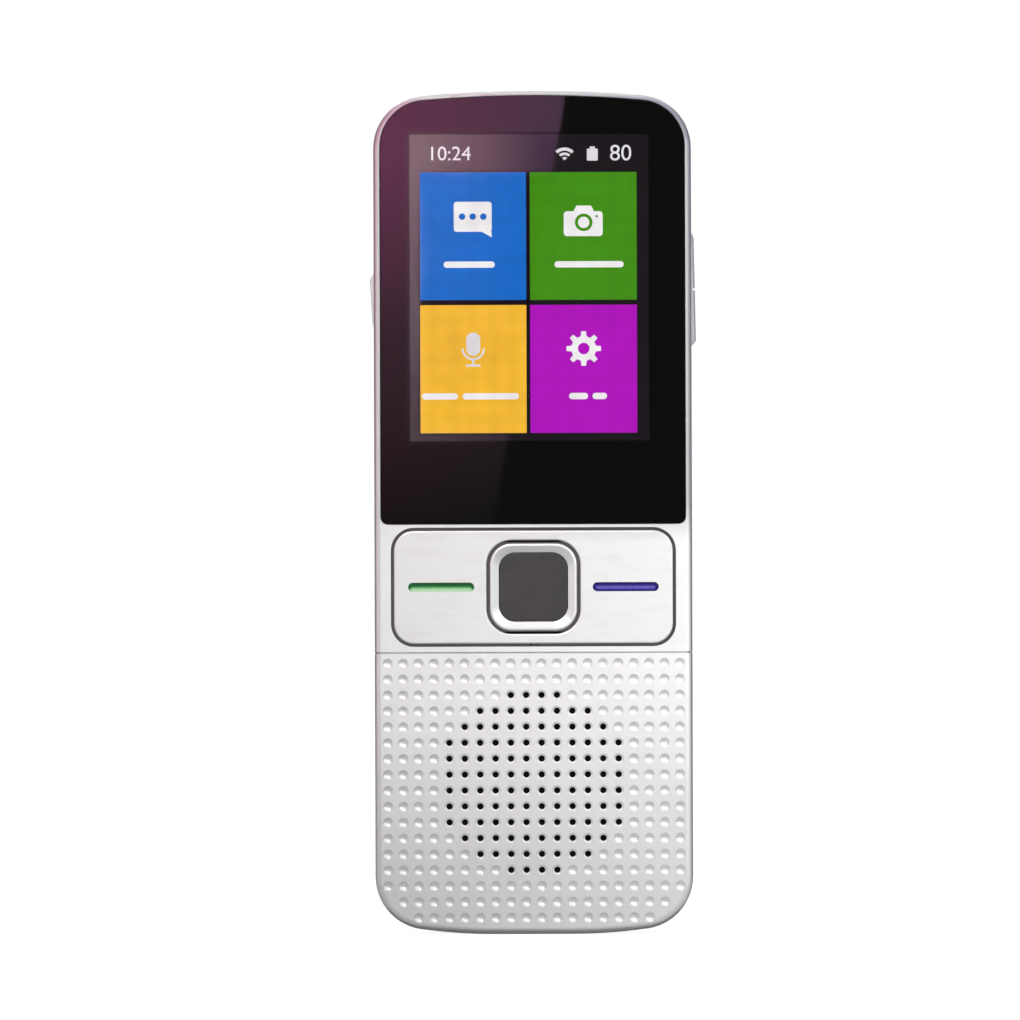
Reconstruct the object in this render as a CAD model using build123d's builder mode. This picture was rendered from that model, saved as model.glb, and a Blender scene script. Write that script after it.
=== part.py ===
from build123d import *
import math
import os

# A handheld voice translator: a two-part plastic housing around a colour display, a rocker for
# the two languages, a centre key, a loudspeaker behind a dimpled grille, and side keys.
# Millimetres. It stands upright: +Z up, the display faces -Y, the origin is under its middle.

# ---- Driving dimensions -----------------------------------------------------------------

body_width = 50.3
body_height = 133.5
body_depth = 13.6
corner_radius = 8.4
top_arch = (0, 206.0)  # each end: half the length of its flat middle, and the radius beside it
bottom_arch = (5.5, 92.0)
front_edge_radius = 1.1
back_edge_radius = 2.6
wall = 1.5
front_wall = 1.6
back_wall = 1.4
rim = 1.0  # silver margin left around the screen glass
glass_lift = 0.25  # the margin over the glass is thinner by this
fit_gap = 0.07  # between an inlaid plate and its pocket
seam = 0.12  # chamfer on each side of the housing seam

front_y = -body_depth / 2
back_y = body_depth / 2
seam_y = 1.8
inner_front_y = front_y + front_wall
inner_back_y = back_y - back_wall

# Screen
glass_low_z = 64.89
glass_front_y = front_y + 0.05
glass_depth = 0.87
glass_pocket_y = -5.70
glass_corner = 1.2
mask_depth = 0.05
window_x = (-19.4, 18.4)
window_z = (78.1, 126.6)
display_centre = (-0.5, 98.8)
display_size = (40.8, 58.2)
backlight_size = (41.2, 58.6)
display_opening = (41.8, 59.2)
display_front_y = -5.66
display_back_y = -4.50
backlight_back_y = -3.10
bracket_back_y = -2.80

# Key pad
keypad_z = 54.97
bay_size = (45.1, 18.85)
bay_radius = 3.65
key_gap = 0.45
rocker_front_y = front_y - 0.15
rocker_back_y = -5.45
rocker_pivot_y = -4.5
rocker_pin_radius = 0.6
pin_clearance = 0.06
light_slot = (10.45, 1.45)
light_slot_x = 14.6
light_bar_front_y = rocker_front_y + 0.65
ring_opening = 14.75
ring_opening_radius = 3.9
ring_front_y = front_y - 0.25
cap_size = 11.0
cap_radius = 2.6
cap_front_y = -6.5
cap_back_y = -5.9

# Grille
grille_top_z = 44.56
grille_seam = 0.06
seam_bevel = 0.13
grille_depth = 0.95
grille_pocket_y = -5.75
grille_columns = 20
column_pitch = 2.433
row_pitch = 2.515
first_row_z = 42.9
hole_radius = 0.5
dimple_radius = 0.80  # at the surface
dimple_depth = 0.30
speaker_z = 24.04
speaker_opening = 15.4
speaker_radius = 16.6

# Boards and switches
board_front_y = -2.2
board_back_y = -1.2
board_inset = 3.15
board_low_z = 41.5
switch_depth = 1.5
stem_radius = 1.0
stem_rise = 0.5
stem_tip_y = board_front_y - switch_depth - stem_rise
language_switch_x = 18.0
side_stem_radius = 0.5
side_axis_y = -0.4
side_switch_x = 22.0
side_stem_tip_x = 22.5
touch_gap = 0.03  # between a key's nub and the stem that it works

# Side keys
side_key_depth = 2.6
side_slot_gap = 0.3
volume_z = 102.1
volume_length = 18.2
volume_rise = (0.45, 0.63, 0.78)  # how far it stands out: at its upper end, middle and lower end
volume_pivot_x = 22.95
volume_switch_offset = 5.0
power_low_z = 96.15
power_high_z = 104.8

# Fasteners: (x, z) of the six housing screws, which are mirrored left and right
screw_points = [
    (side * x, z) for x, z in ((17.5, 130.0), (21.4, 67.0), (19.0, 6.2)) for side in (-1, 1)
]
boss_radius = 1.7
post_radius = 2.0
shank_radius = 0.78
head_radius = 1.5
head_height = 0.85
head_pocket_depth = 1.2
boss_top_y = 1.78

# Bottom end
socket_y = -0.4
socket_width = 8.94
socket_height = 3.26
socket_low_z = 0.45
socket_high_z = 7.7
bottom_microphone_x = -10.5
top_microphone_x = 6.0
microphone_y = -0.8
boot_radius = 1.8
bottom_board_y = (1.25, 2.05)

# Back
camera_at = (11.5, 118.0)
flash_at = (2.0, 118.0)
camera_trim_radius = 4.95
camera_window_radius = 3.6
camera_pocket_depth = 1.0
flash_radius = 1.6


# ---- Helpers ----------------------------------------------------------------------------


def level(y):
    """The plane across the depth at y, on which a sketch's x and y are the model's X and Z.

    Its normal is -Y, so a negative extrusion goes towards the back."""
    return Plane.XZ.offset(-y)


def arch_height(arch, inset, x):
    """How far a crowned end, pulled in by inset, lies inside the body's full height at x."""
    flat, radius = arch
    return radius - math.sqrt((radius - inset) ** 2 - max(abs(x) - flat, 0) ** 2)


def outline(inset):
    """The body's outline pulled in by inset: straight sides, crowned ends and round corners."""
    half = body_width / 2 - inset
    flat = bottom_arch[0]
    middle = (half + flat) / 2
    low_z = arch_height(bottom_arch, inset, half)
    middle_z = arch_height(bottom_arch, inset, middle)
    high_z = body_height - arch_height(top_arch, inset, half)
    with BuildSketch() as face:
        with BuildLine():
            ThreePointArc((-half, low_z), (-middle, middle_z), (-flat, inset))
            Line((-flat, inset), (flat, inset))
            ThreePointArc((flat, inset), (middle, middle_z), (half, low_z))
            Line((half, low_z), (half, high_z))
            ThreePointArc((half, high_z), (0, body_height - inset), (-half, high_z))
            Line((-half, high_z), (-half, low_z))
        make_face()
        corners = face.vertices().filter_by(lambda v: abs(abs(v.X) - half) < 0.01)
        fillet(corners, radius=corner_radius - inset)
    return face.sketch


def band(inset, low_z, high_z):
    """The part of outline(inset) between two heights."""
    with BuildSketch() as face:
        add(outline(inset))
        with Locations((0, (low_z + high_z) / 2)):
            Rectangle(2 * body_width, high_z - low_z, mode=Mode.INTERSECT)
    return face.sketch


def glass_outline(grow):
    """The screen glass's outline, pushed out by grow."""
    with BuildSketch() as face:
        with Locations((0, glass_lift)):
            add(band(rim - grow, glass_low_z - glass_lift - grow, body_height))
        fillet(face.vertices().group_by(Axis.Y)[0], radius=glass_corner + grow)
    return face.sketch


def block(x, y, z, mode=Mode.ADD):
    """A box between two values on each axis."""
    with Locations(((x[0] + x[1]) / 2, (y[0] + y[1]) / 2, (z[0] + z[1]) / 2)):
        Box(x[1] - x[0], y[1] - y[0], z[1] - z[0], mode=mode)


def rods(points, radius, y, mode=Mode.ADD):
    """Round rods along Y at (x, z) points, between two depths."""
    with BuildSketch(level(y[0])) as circles:
        with Locations(*points):
            Circle(radius)
    extrude(circles.sketch, amount=y[0] - y[1], mode=mode)


def slab(face, y, mode=Mode.ADD):
    """A ready outline face carried from one depth to another."""
    with BuildSketch(level(y[0])) as placed:
        add(face)
    extrude(placed.sketch, amount=y[0] - y[1], mode=mode)


def rounded(size, radius, centre=(0, 0)):
    """A rounded rectangle face about a centre."""
    with BuildSketch() as face:
        with Locations(centre):
            RectangleRounded(size[0], size[1], radius)
    return face.sketch


def around(centre, half):
    """The range half either side of centre."""
    return (centre - half, centre + half)


def keep(builder, node):
    """Names a finished piece after its node and writes it as parts/<node>.step."""
    builder.part.label = node
    export_step(builder.part, f"parts/{node}.step")
    print(f"{node:22s} {len(builder.part.solids()):3d} solids {builder.part.volume:10.2f} mm3")


os.makedirs("parts", exist_ok=True)

# ---- Housing ----------------------------------------------------------------------------

saddle_z = (9.55, 11.25)  # either side of the key pad's middle, as the rocker's pins are
saddle_half_x = 2.2
saddle_back_y = -3.55
volume_half = volume_length / 2 + side_slot_gap
power_z = ((power_low_z + power_high_z) / 2, (power_high_z - power_low_z) / 2 + 0.2)
slot_half_y = side_key_depth / 2 + 0.2
tongue_inset = 0.82
tongue_y = 0.9

with BuildPart() as front_housing:
    slab(outline(0), (front_y, seam_y))
    fillet(front_housing.faces().sort_by(Axis.Y)[0].edges(), radius=front_edge_radius)
    chamfer(front_housing.faces().sort_by(Axis.Y)[-1].edges(), length=seam)
    slab(outline(wall), (inner_front_y, seam_y), Mode.SUBTRACT)
    # The rabbet that takes the rear housing's tongue.
    slab(outline(tongue_inset - fit_gap), (tongue_y - fit_gap, seam_y), Mode.SUBTRACT)
    # A pocket for the screen glass and a step for the grille, with the openings behind them.
    slab(glass_outline(fit_gap), (front_y - 1, glass_pocket_y), Mode.SUBTRACT)
    grille_step = (-1, grille_top_z + grille_seam)
    block((-30, 30), (front_y - 1, grille_pocket_y), grille_step, Mode.SUBTRACT)
    step_edges = front_housing.edges().filter_by(Axis.X).filter_by_position(Axis.Y, front_y, front_y)
    chamfer(step_edges.filter_by_position(Axis.Z, grille_step[1], grille_step[1]), length=seam_bevel)
    slab(rounded(display_opening, 0.5, display_centre), (front_y - 1, inner_front_y), Mode.SUBTRACT)
    rods([(0, speaker_z)], speaker_opening, (front_y - 1, inner_front_y + 0.1), Mode.SUBTRACT)
    slab(rounded(bay_size, bay_radius, (0, keypad_z)), (front_y - 1, inner_front_y), Mode.SUBTRACT)
    # C-shaped saddles that the rocker's two pins snap into from behind.
    for side in (-1, 1):
        saddle = sorted((keypad_z + side * saddle_z[0], keypad_z + side * saddle_z[1]))
        block(around(0, saddle_half_x), (inner_front_y, saddle_back_y), saddle)
        with BuildSketch(Plane.XY.offset(saddle[0])):
            with Locations((0, rocker_pivot_y)):
                Circle(rocker_pin_radius + pin_clearance)
            with Locations((0, saddle_back_y)):
                Rectangle(0.95, 2 * (saddle_back_y - rocker_pivot_y))
        extrude(amount=saddle[1] - saddle[0], mode=Mode.SUBTRACT)
    # Screw bosses with their pilot holes.
    rods(screw_points, boss_radius, (inner_front_y, boss_top_y))
    rods(screw_points, shank_radius + 0.02, (-2.5, boss_top_y), Mode.SUBTRACT)
    # Slots for the side keys, and the small saddles for the volume rocker's pins.
    block((20, 30), around(side_axis_y, slot_half_y), around(volume_z, volume_half), Mode.SUBTRACT)
    block((-30, -20), around(side_axis_y, slot_half_y), around(*power_z), Mode.SUBTRACT)
    for low_y, high_y in ((-2.6, -2.0), (1.2, 1.8)):
        block((22.3, 24.5), (low_y, high_y), around(volume_z, 1.3))
        with BuildSketch(level(low_y)):
            with Locations((volume_pivot_x, volume_z)):
                Circle(0.45 + pin_clearance)
            with Locations(((22.3 + volume_pivot_x) / 2, volume_z)):
                Rectangle(volume_pivot_x - 22.3, 0.75)
        extrude(amount=low_y - high_y, mode=Mode.SUBTRACT)
    # Charging socket, and the two microphone holes.
    with BuildSketch(Plane.XY.offset(-1)):
        with Locations((0, socket_y)):
            RectangleRounded(socket_width + 0.5, socket_height + 0.4, 1.8)
        with Locations((bottom_microphone_x, microphone_y)):
            Circle(hole_radius)
    extrude(amount=wall + 2, mode=Mode.SUBTRACT)
    with BuildSketch(Plane.XY.offset(body_height - wall - 1)):
        with Locations((top_microphone_x, microphone_y)):
            Circle(hole_radius)
    extrude(amount=wall + 2, mode=Mode.SUBTRACT)
keep(front_housing, "front_housing")

with BuildPart() as rear_housing:
    slab(outline(0), (seam_y, back_y))
    fillet(rear_housing.faces().sort_by(Axis.Y)[-1].edges(), radius=back_edge_radius)
    chamfer(rear_housing.faces().sort_by(Axis.Y)[0].edges(), length=seam)
    slab(outline(wall), (seam_y, inner_back_y), Mode.SUBTRACT)
    rods(screw_points, post_radius, (boss_top_y + 0.05, inner_back_y))
    with BuildSketch(level(tongue_y)):
        add(outline(tongue_inset))
        add(outline(wall), mode=Mode.SUBTRACT)
        # The tongue stops short of the bosses, the key slots and the charging socket.
        with Locations(*screw_points):
            Circle(boss_radius + 0.2, mode=Mode.SUBTRACT)
        with Locations((24, volume_z)):
            Rectangle(4, 2 * volume_half + 3, mode=Mode.SUBTRACT)
        with Locations((-24, power_z[0])):
            Rectangle(4, 2 * power_z[1] + 3, mode=Mode.SUBTRACT)
        with Locations((0, 1)):
            Rectangle(socket_width + 2, 3, mode=Mode.SUBTRACT)
    extrude(amount=tongue_y - seam_y)
    rods(screw_points, head_radius + 0.15, (back_y - head_pocket_depth, back_y + 1), Mode.SUBTRACT)
    rods(screw_points, shank_radius + 0.07, (0, back_y), Mode.SUBTRACT)
    rods([camera_at], camera_trim_radius + 0.03, (back_y - camera_pocket_depth, back_y + 1), Mode.SUBTRACT)
    rods([camera_at], camera_window_radius - 0.2, (0, back_y), Mode.SUBTRACT)
    rods([flash_at], flash_radius + 0.03, (0, back_y + 1), Mode.SUBTRACT)
keep(rear_housing, "rear_housing")

head_top_y = back_y - head_pocket_depth + head_height
with BuildPart() as housing_screws:
    rods(screw_points, head_radius, (head_top_y - head_height, head_top_y))
    fillet(housing_screws.faces().group_by(Axis.Y)[-1].edges(), radius=0.3)
    rods(screw_points, shank_radius, (-1.8, head_top_y - head_height))
    with BuildSketch(level(head_top_y - 0.5)):
        with Locations(*screw_points):
            Rectangle(1.7, 0.36)
            Rectangle(0.36, 1.7)
    extrude(amount=-1, mode=Mode.SUBTRACT)
keep(housing_screws, "housing_screws")

# ---- Screen -----------------------------------------------------------------------------

glass_back_y = glass_front_y + glass_depth
mask_back_y = glass_back_y + mask_depth

with BuildPart() as screen_glass:
    slab(glass_outline(0), (glass_front_y, glass_back_y))
    chamfer(screen_glass.faces().sort_by(Axis.Y)[0].edges(), length=0.12)
keep(screen_glass, "screen_glass")

with BuildPart() as screen_mask:
    slab(glass_outline(-0.1), (glass_back_y, mask_back_y))
    block(window_x, (glass_back_y - 1, mask_back_y + 1), window_z, Mode.SUBTRACT)
keep(screen_mask, "screen_mask")

with BuildPart() as glass_adhesive:
    slab(glass_outline(-0.15), (mask_back_y, glass_pocket_y))
    slab(rounded((42.4, 59.8), 0.5, display_centre), (mask_back_y - 1, glass_pocket_y + 1), Mode.SUBTRACT)
keep(glass_adhesive, "glass_adhesive")

with BuildPart() as touch_sensor:
    slab(rounded((41.4, 58.8), 0.4, display_centre), (mask_back_y, mask_back_y + 0.11))
keep(touch_sensor, "touch_sensor")

with BuildPart() as lcd_panel:
    slab(rounded(display_size, 0.3, display_centre), (display_front_y, display_back_y))
keep(lcd_panel, "lcd_panel")

with BuildPart() as lcd_backlight:
    slab(rounded(backlight_size, 0.4, display_centre), (display_back_y, backlight_back_y))
keep(lcd_backlight, "lcd_backlight")

with BuildPart() as lcd_bracket:
    slab(rounded((43.0, 58.5), 1.0, (-0.5, 98.75)), (backlight_back_y, bracket_back_y))
    for low_z in (78, 104):
        slab(rounded((30, 14), 2.0, (-0.5, low_z + 7)), (backlight_back_y - 1, 0), Mode.SUBTRACT)
keep(lcd_bracket, "lcd_bracket")

with BuildPart() as foam_pad:
    slab(rounded((34, 8), 1.0, (-0.5, 98.0)), (bracket_back_y, board_front_y - 0.02))
keep(foam_pad, "foam_pad")

flex_x = (5.0, 13.0)
flex_depth = 0.15
connector_z = (59.5, 61.5)
with BuildPart() as lcd_flex:
    with BuildSketch(Plane.YZ.offset(flex_x[0])):
        with BuildLine() as flex_line:
            FilletPolyline(
                (-4.2, 69.4),
                (-4.2, 67.6),
                (-2.5, 65.0),
                (-2.5, connector_z[1] + 0.1),
                radius=0.9,
            )
            offset(amount=flex_depth / 2, side=Side.BOTH)
        make_face()
    extrude(amount=flex_x[1] - flex_x[0])
keep(lcd_flex, "lcd_flex")

with BuildPart() as lcd_connector:
    block((4.2, 13.8), (-3.1, board_front_y), connector_z)
    chamfer(lcd_connector.faces().sort_by(Axis.Y)[0].edges(), length=0.15)
keep(lcd_connector, "lcd_connector")

# ---- Grille and loudspeaker ---------------------------------------------------------------

# How many columns of each row, from the top, are pierced: a round patch over the loudspeaker.
pierced = {2: 4, 3: 8, 4: 10, 5: 12, 6: 12, 7: 12, 8: 12, 9: 12, 10: 12, 11: 10, 12: 8, 13: 4}
# How many columns each row has: the bottom rows stop at the round corners.
row_lengths = [grille_columns] * 15 + [18, 16]
grille_back_y = front_y + grille_depth


def row_points(row, count):
    """The count middle places of a row."""
    z = first_row_z - row * row_pitch
    return [((i - (count - 1) / 2) * column_pitch, z) for i in range(count)]


dimple_points = [p for row, count in enumerate(row_lengths) for p in row_points(row, count)]
hole_points = [p for row, count in pierced.items() for p in row_points(row, count)]
dimple_ball = (dimple_radius**2 + dimple_depth**2) / (2 * dimple_depth)

with BuildPart() as speaker_grille:
    slab(outline(0), (front_y, seam_y))
    fillet(speaker_grille.faces().sort_by(Axis.Y)[0].edges(), radius=front_edge_radius)
    block((-30, 30), (front_y - 1, grille_back_y), (-1, grille_top_z), Mode.INTERSECT)
    top_edges = speaker_grille.edges().filter_by(Axis.X).filter_by_position(Axis.Y, front_y, front_y)
    chamfer(top_edges.filter_by_position(Axis.Z, grille_top_z, grille_top_z), length=seam_bevel)
    with Locations(*[(x, front_y + dimple_depth - dimple_ball, z) for x, z in dimple_points]):
        Sphere(dimple_ball, mode=Mode.SUBTRACT)
    rods(hole_points, hole_radius, (front_y - 1, grille_back_y + 1), Mode.SUBTRACT)
keep(speaker_grille, "speaker_grille")

with BuildPart() as grille_adhesive:
    slab(band(0.35, 0, grille_top_z - 0.3), (grille_back_y, grille_pocket_y))
    rods([(0, speaker_z)], speaker_opening + 0.9, (grille_back_y - 1, grille_pocket_y + 1), Mode.SUBTRACT)
keep(grille_adhesive, "grille_adhesive")

with BuildPart() as speaker_mesh:
    rods([(0, speaker_z)], speaker_opening + 0.8, (grille_back_y, grille_back_y + 0.1))
keep(speaker_mesh, "speaker_mesh")

# The loudspeaker's parts are turned about its own axis, which runs along Y.
speaker_axis = Axis((0, 0, speaker_z), (0, 1, 0))
speaker_section = Plane(origin=(0, 0, speaker_z), x_dir=(1, 0, 0), z_dir=(0, 0, 1))
gasket_back_y = inner_front_y + 0.5

with BuildPart() as speaker_gasket:
    rods([(0, speaker_z)], speaker_radius + 0.5, (inner_front_y, gasket_back_y))
    rods([(0, speaker_z)], speaker_opening + 0.1, (inner_front_y - 1, gasket_back_y + 1), Mode.SUBTRACT)
keep(speaker_gasket, "speaker_gasket")

with BuildPart() as speaker_frame:
    with BuildSketch(speaker_section):
        with BuildLine():
            Polyline(
                (speaker_radius - 1.1, gasket_back_y),
                (speaker_radius, gasket_back_y),
                (speaker_radius, gasket_back_y + 0.9),
                (speaker_radius - 3.9, -2.0),
                (6.0, -2.0),
                (6.0, -2.5),
                (speaker_radius - 4.3, -2.5),
                (speaker_radius - 1.1, gasket_back_y + 0.6),
                close=True,
            )
        make_face()
    revolve(axis=speaker_axis)
    for side in (-1, 1):
        block(around(side * 2.5, 0.8), (-2.0, -1.5), (speaker_z + 9.2, speaker_z + 11.4))
keep(speaker_frame, "speaker_frame")

with BuildPart() as speaker_cone:
    with BuildSketch(speaker_section):
        with BuildLine():
            Polyline((0, -3.6), (3.4, -3.2), (5.6, -3.2), (13.1, gasket_back_y + 0.25))
            ThreePointArc(
                (13.1, gasket_back_y + 0.25),
                (14.2, gasket_back_y - 0.15),
                (15.3, gasket_back_y + 0.25),
            )
            Polyline((15.3, gasket_back_y + 0.25), (15.3, gasket_back_y + 0.4), (13.2, gasket_back_y + 0.45))
            Polyline((13.2, gasket_back_y + 0.45), (5.7, -3.0), (3.4, -3.0), (0, -3.4), (0, -3.6))
        make_face()
    revolve(axis=speaker_axis)
keep(speaker_cone, "speaker_cone")

with BuildPart() as speaker_magnet:
    rods([(0, speaker_z)], 8.0, (-2.0, 0.6))
    fillet(speaker_magnet.edges().group_by(Axis.Y)[-1], radius=0.4)
    rods([(0, speaker_z)], 5.9, (-2.5, -2.0))
keep(speaker_magnet, "speaker_magnet")

lead_radius = 0.35
with BuildPart() as speaker_leads:
    for side in (-1, 1):
        with BuildLine() as lead:
            FilletPolyline(
                (side * 2.5, -1.15, speaker_z + 9.4),
                (side * 2.5, -1.15, speaker_z + 13.0),
                (side * 3.6, -0.85, speaker_z + 16.0),
                (side * 3.6, -0.85, speaker_z + 19.3),
                radius=1.5,
            )
        with BuildSketch(Plane(lead.line @ 0, z_dir=lead.line % 0)):
            Circle(lead_radius)
        sweep(path=lead.line)
keep(speaker_leads, "speaker_leads")

# ---- Key pad ----------------------------------------------------------------------------

rocker_size = (bay_size[0] - 2 * key_gap, bay_size[1] - 2 * key_gap)
rocker_radius = bay_radius - key_gap
pin_end = saddle_z[1] - 0.2
rib_z = (7.55, 8.8)
skirt_y = (-4.74, -4.34)
skirt_size = (46.4, 20.1)
nub_radius = 0.8
nub_tip_y = stem_tip_y - touch_gap

with BuildPart() as language_rocker:
    slab(rounded(rocker_size, rocker_radius, (0, keypad_z)), (rocker_front_y, rocker_back_y))
    slab(
        rounded((ring_opening, ring_opening), ring_opening_radius, (0, keypad_z)),
        (rocker_front_y - 1, 0),
        Mode.SUBTRACT,
    )
    fillet(language_rocker.faces().sort_by(Axis.Y)[0].edges(), radius=0.28)
    with BuildSketch(level(rocker_front_y - 1)):
        with Locations((-light_slot_x, keypad_z), (light_slot_x, keypad_z)):
            SlotOverall(*light_slot)
    extrude(amount=-5, mode=Mode.SUBTRACT)
    # A skirt behind the bay's edge keeps the rocker in. It stops 0.1 mm short of the saddles.
    slab(rounded(rocker_size, rocker_radius, (0, keypad_z)), (rocker_back_y, skirt_y[1]))
    slab(rounded(skirt_size, rocker_radius + 0.7, (0, keypad_z)), skirt_y)
    slab(
        rounded((rocker_size[0] - 1.6, rocker_size[1] - 1.6), rocker_radius - 0.8, (0, keypad_z)),
        (rocker_back_y, skirt_y[1] + 1),
        Mode.SUBTRACT,
    )
    for side in (-1, 1):
        notch_z = sorted((keypad_z + side * (saddle_z[0] - 0.1), keypad_z + side * 11.5))
        block(around(0, saddle_half_x + 0.4), (rocker_back_y, 0), notch_z, Mode.SUBTRACT)
    rods(
        [(-language_switch_x, keypad_z + 3.2), (language_switch_x, keypad_z + 3.2)],
        nub_radius,
        (rocker_back_y, nub_tip_y),
    )
    fillet(language_rocker.faces().sort_by(Axis.Y)[-2:].edges(), radius=0.55)
    for side in (-1, 1):
        rib = sorted((keypad_z + side * rib_z[0], keypad_z + side * rib_z[1]))
        block(around(0, 1.2), (rocker_back_y, -3.9), rib)
        with BuildSketch(Plane.XY.offset(keypad_z + side * rib_z[1])):
            with Locations((0, rocker_pivot_y)):
                Circle(rocker_pin_radius)
        extrude(amount=side * (pin_end - rib_z[1]))
keep(language_rocker, "language_rocker")

for side, node in ((-1, "green_light_bar"), (1, "blue_light_bar")):
    with BuildPart() as light_bar:
        with BuildSketch(level(light_bar_front_y)):
            with Locations((side * light_slot_x, keypad_z)):
                SlotOverall(light_slot[0] - 0.03, light_slot[1] - 0.03)
        extrude(amount=light_bar_front_y - rocker_back_y)
        with BuildSketch(level(rocker_back_y)):
            with Locations((side * light_slot_x, keypad_z)):
                SlotOverall(light_slot[0] + 1.2, light_slot[1] + 1.2)
        extrude(amount=-0.4)
    keep(light_bar, node)

ring_size = ring_opening - 2 * key_gap
ring_radius = ring_opening_radius - key_gap
ring_floor_y = -5.15
flange_back_y = -4.65

with BuildPart() as centre_key_ring:
    slab(rounded((ring_size, ring_size), ring_radius, (0, keypad_z)), (ring_front_y, ring_floor_y))
    fillet(centre_key_ring.faces().sort_by(Axis.Y)[0].edges(), radius=0.3)
    # The ring slopes in to the cap like a shallow dish.
    with BuildSketch(level(ring_front_y)):
        add(rounded((ring_size - 0.9, ring_size - 0.9), ring_radius - 0.45, (0, keypad_z)))
    with BuildSketch(level(cap_front_y)):
        add(rounded((cap_size, cap_size), cap_radius, (0, keypad_z)))
    loft(mode=Mode.SUBTRACT)
    slab(rounded((cap_size, cap_size), cap_radius, (0, keypad_z)), (cap_front_y, cap_back_y), Mode.SUBTRACT)
    slab(rounded((16.4, 14.2), 2.0, (0, keypad_z)), (ring_floor_y, flange_back_y))
    rods([(0, keypad_z)], nub_radius, (flange_back_y, nub_tip_y))
keep(centre_key_ring, "centre_key_ring")

with BuildPart() as centre_key_cap:
    cap_width = cap_size - 0.06
    slab(rounded((cap_width, cap_width), cap_radius - 0.03, (0, keypad_z)), (cap_front_y, cap_back_y))
    fillet(centre_key_cap.faces().sort_by(Axis.Y)[0].edges(), radius=0.18)
keep(centre_key_cap, "centre_key_cap")

# ---- Side keys --------------------------------------------------------------------------

side_y = around(side_axis_y, side_key_depth / 2)
side_x = body_width / 2
key_shoulder_x = 23.15
flange_half_y = 1.5
end_slope = 0.9

with BuildPart() as volume_rocker:
    low_z, high_z = around(volume_z, volume_length / 2)
    with BuildSketch(level(side_y[0])):
        with BuildLine():
            upper_end = (side_x + volume_rise[0], high_z - end_slope)
            lower_end = (side_x + volume_rise[2], low_z + end_slope)
            Polyline(lower_end, (side_x, low_z), (key_shoulder_x, low_z))
            Polyline((key_shoulder_x, low_z), (key_shoulder_x, high_z), (side_x, high_z), upper_end)
            ThreePointArc(upper_end, (side_x + volume_rise[1], volume_z), lower_end)
        make_face()
    extrude(amount=side_y[0] - side_y[1])
    outer_edges = volume_rocker.edges().filter_by(lambda e: e.center().X > side_x + 0.2)
    chamfer(outer_edges.filter_by(lambda e: abs(e.center().Y - side_axis_y) > 1.2), length=0.25)
    # The notch between the louder and the quieter half.
    block((side_x + 0.3, side_x + 2), (side_y[0] - 1, side_y[1] + 1), around(volume_z, 0.18), Mode.SUBTRACT)
    flange_x = (volume_pivot_x - 0.2, key_shoulder_x)
    block(flange_x, around(side_axis_y, flange_half_y), around(volume_z, volume_length / 2 + 0.7))
    for side in (-1, 1):
        nub_z = volume_z + side * volume_switch_offset
        with BuildSketch(Plane.YZ.offset(flange_x[0])):
            with Locations((side_axis_y, nub_z)):
                Circle(0.45)
        extrude(amount=side_stem_tip_x + touch_gap - flange_x[0])
        with BuildSketch(level(side_axis_y + side * flange_half_y)):
            with Locations((volume_pivot_x, volume_z)):
                Circle(0.45)
        extrude(amount=-side * 0.65)
keep(volume_rocker, "volume_rocker")

with BuildPart() as power_key:
    with BuildSketch(level(side_y[0])):
        Polygon(
            (-key_shoulder_x, power_low_z),
            (-side_x, power_low_z),
            (-side_x - 0.24, power_low_z + 0.75),
            (-side_x - 0.62, power_high_z - 1.1),
            (-side_x, power_high_z),
            (-key_shoulder_x, power_high_z),
            align=None,
        )
    extrude(amount=side_y[0] - side_y[1])
    outer_edges = power_key.edges().filter_by(lambda e: e.center().X < -side_x - 0.05)
    fillet(outer_edges.filter_by(lambda e: abs(e.center().Y - side_axis_y) > 1.2), radius=0.15)
    block(
        (-23.5, -23.0),
        around(side_axis_y, 1.9),
        (power_low_z - 0.6, power_high_z + 0.6),
    )
    with BuildSketch(Plane.YZ.offset(-23.0)):
        with Locations((side_axis_y, power_z[0])):
            Circle(0.45)
    extrude(amount=23.0 - side_stem_tip_x - touch_gap)
keep(power_key, "power_key")

# ---- Boards, switches and chips ---------------------------------------------------------

with BuildPart() as main_board:
    slab(band(board_inset, board_low_z, body_height), (board_front_y, board_back_y))
    rods(screw_points, boss_radius + 0.3, (board_front_y - 1, board_back_y + 1), Mode.SUBTRACT)
    fillet(main_board.edges().filter_by(Axis.Y).group_by(Axis.Z)[0], radius=1.0)
    # A notch in the top edge takes the upper microphone.
    notch_x = around(top_microphone_x, boot_radius + 0.3)
    block(notch_x, (board_front_y - 1, board_back_y + 1), (body_height - 5.2, body_height), Mode.SUBTRACT)
keep(main_board, "main_board")

# Each front switch is a square body with a blind bore, and a round stem that slides in it.
stem_seat_y = board_front_y - switch_depth
front_stems = {
    "left_stem": (-language_switch_x, keypad_z + 3.2),
    "centre_stem": (0, keypad_z),
    "right_stem": (language_switch_x, keypad_z + 3.2),
}
lamp_x = 12.2

# A thin black sheet on the backs of the saddles hides the board from the gaps round the keys.
with BuildPart() as keypad_liner:
    slab(rounded((45.4, 20.0), 1.0, (0, keypad_z)), (saddle_back_y, saddle_back_y + 0.12))
    with BuildSketch(level(saddle_back_y - 1)):
        with Locations(*front_stems.values()):
            Rectangle(5.0, 5.0)
        with Locations((-lamp_x, keypad_z), (lamp_x, keypad_z)):
            Rectangle(3.0, 2.0)
    extrude(amount=-3, mode=Mode.SUBTRACT)
keep(keypad_liner, "keypad_liner")

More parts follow.
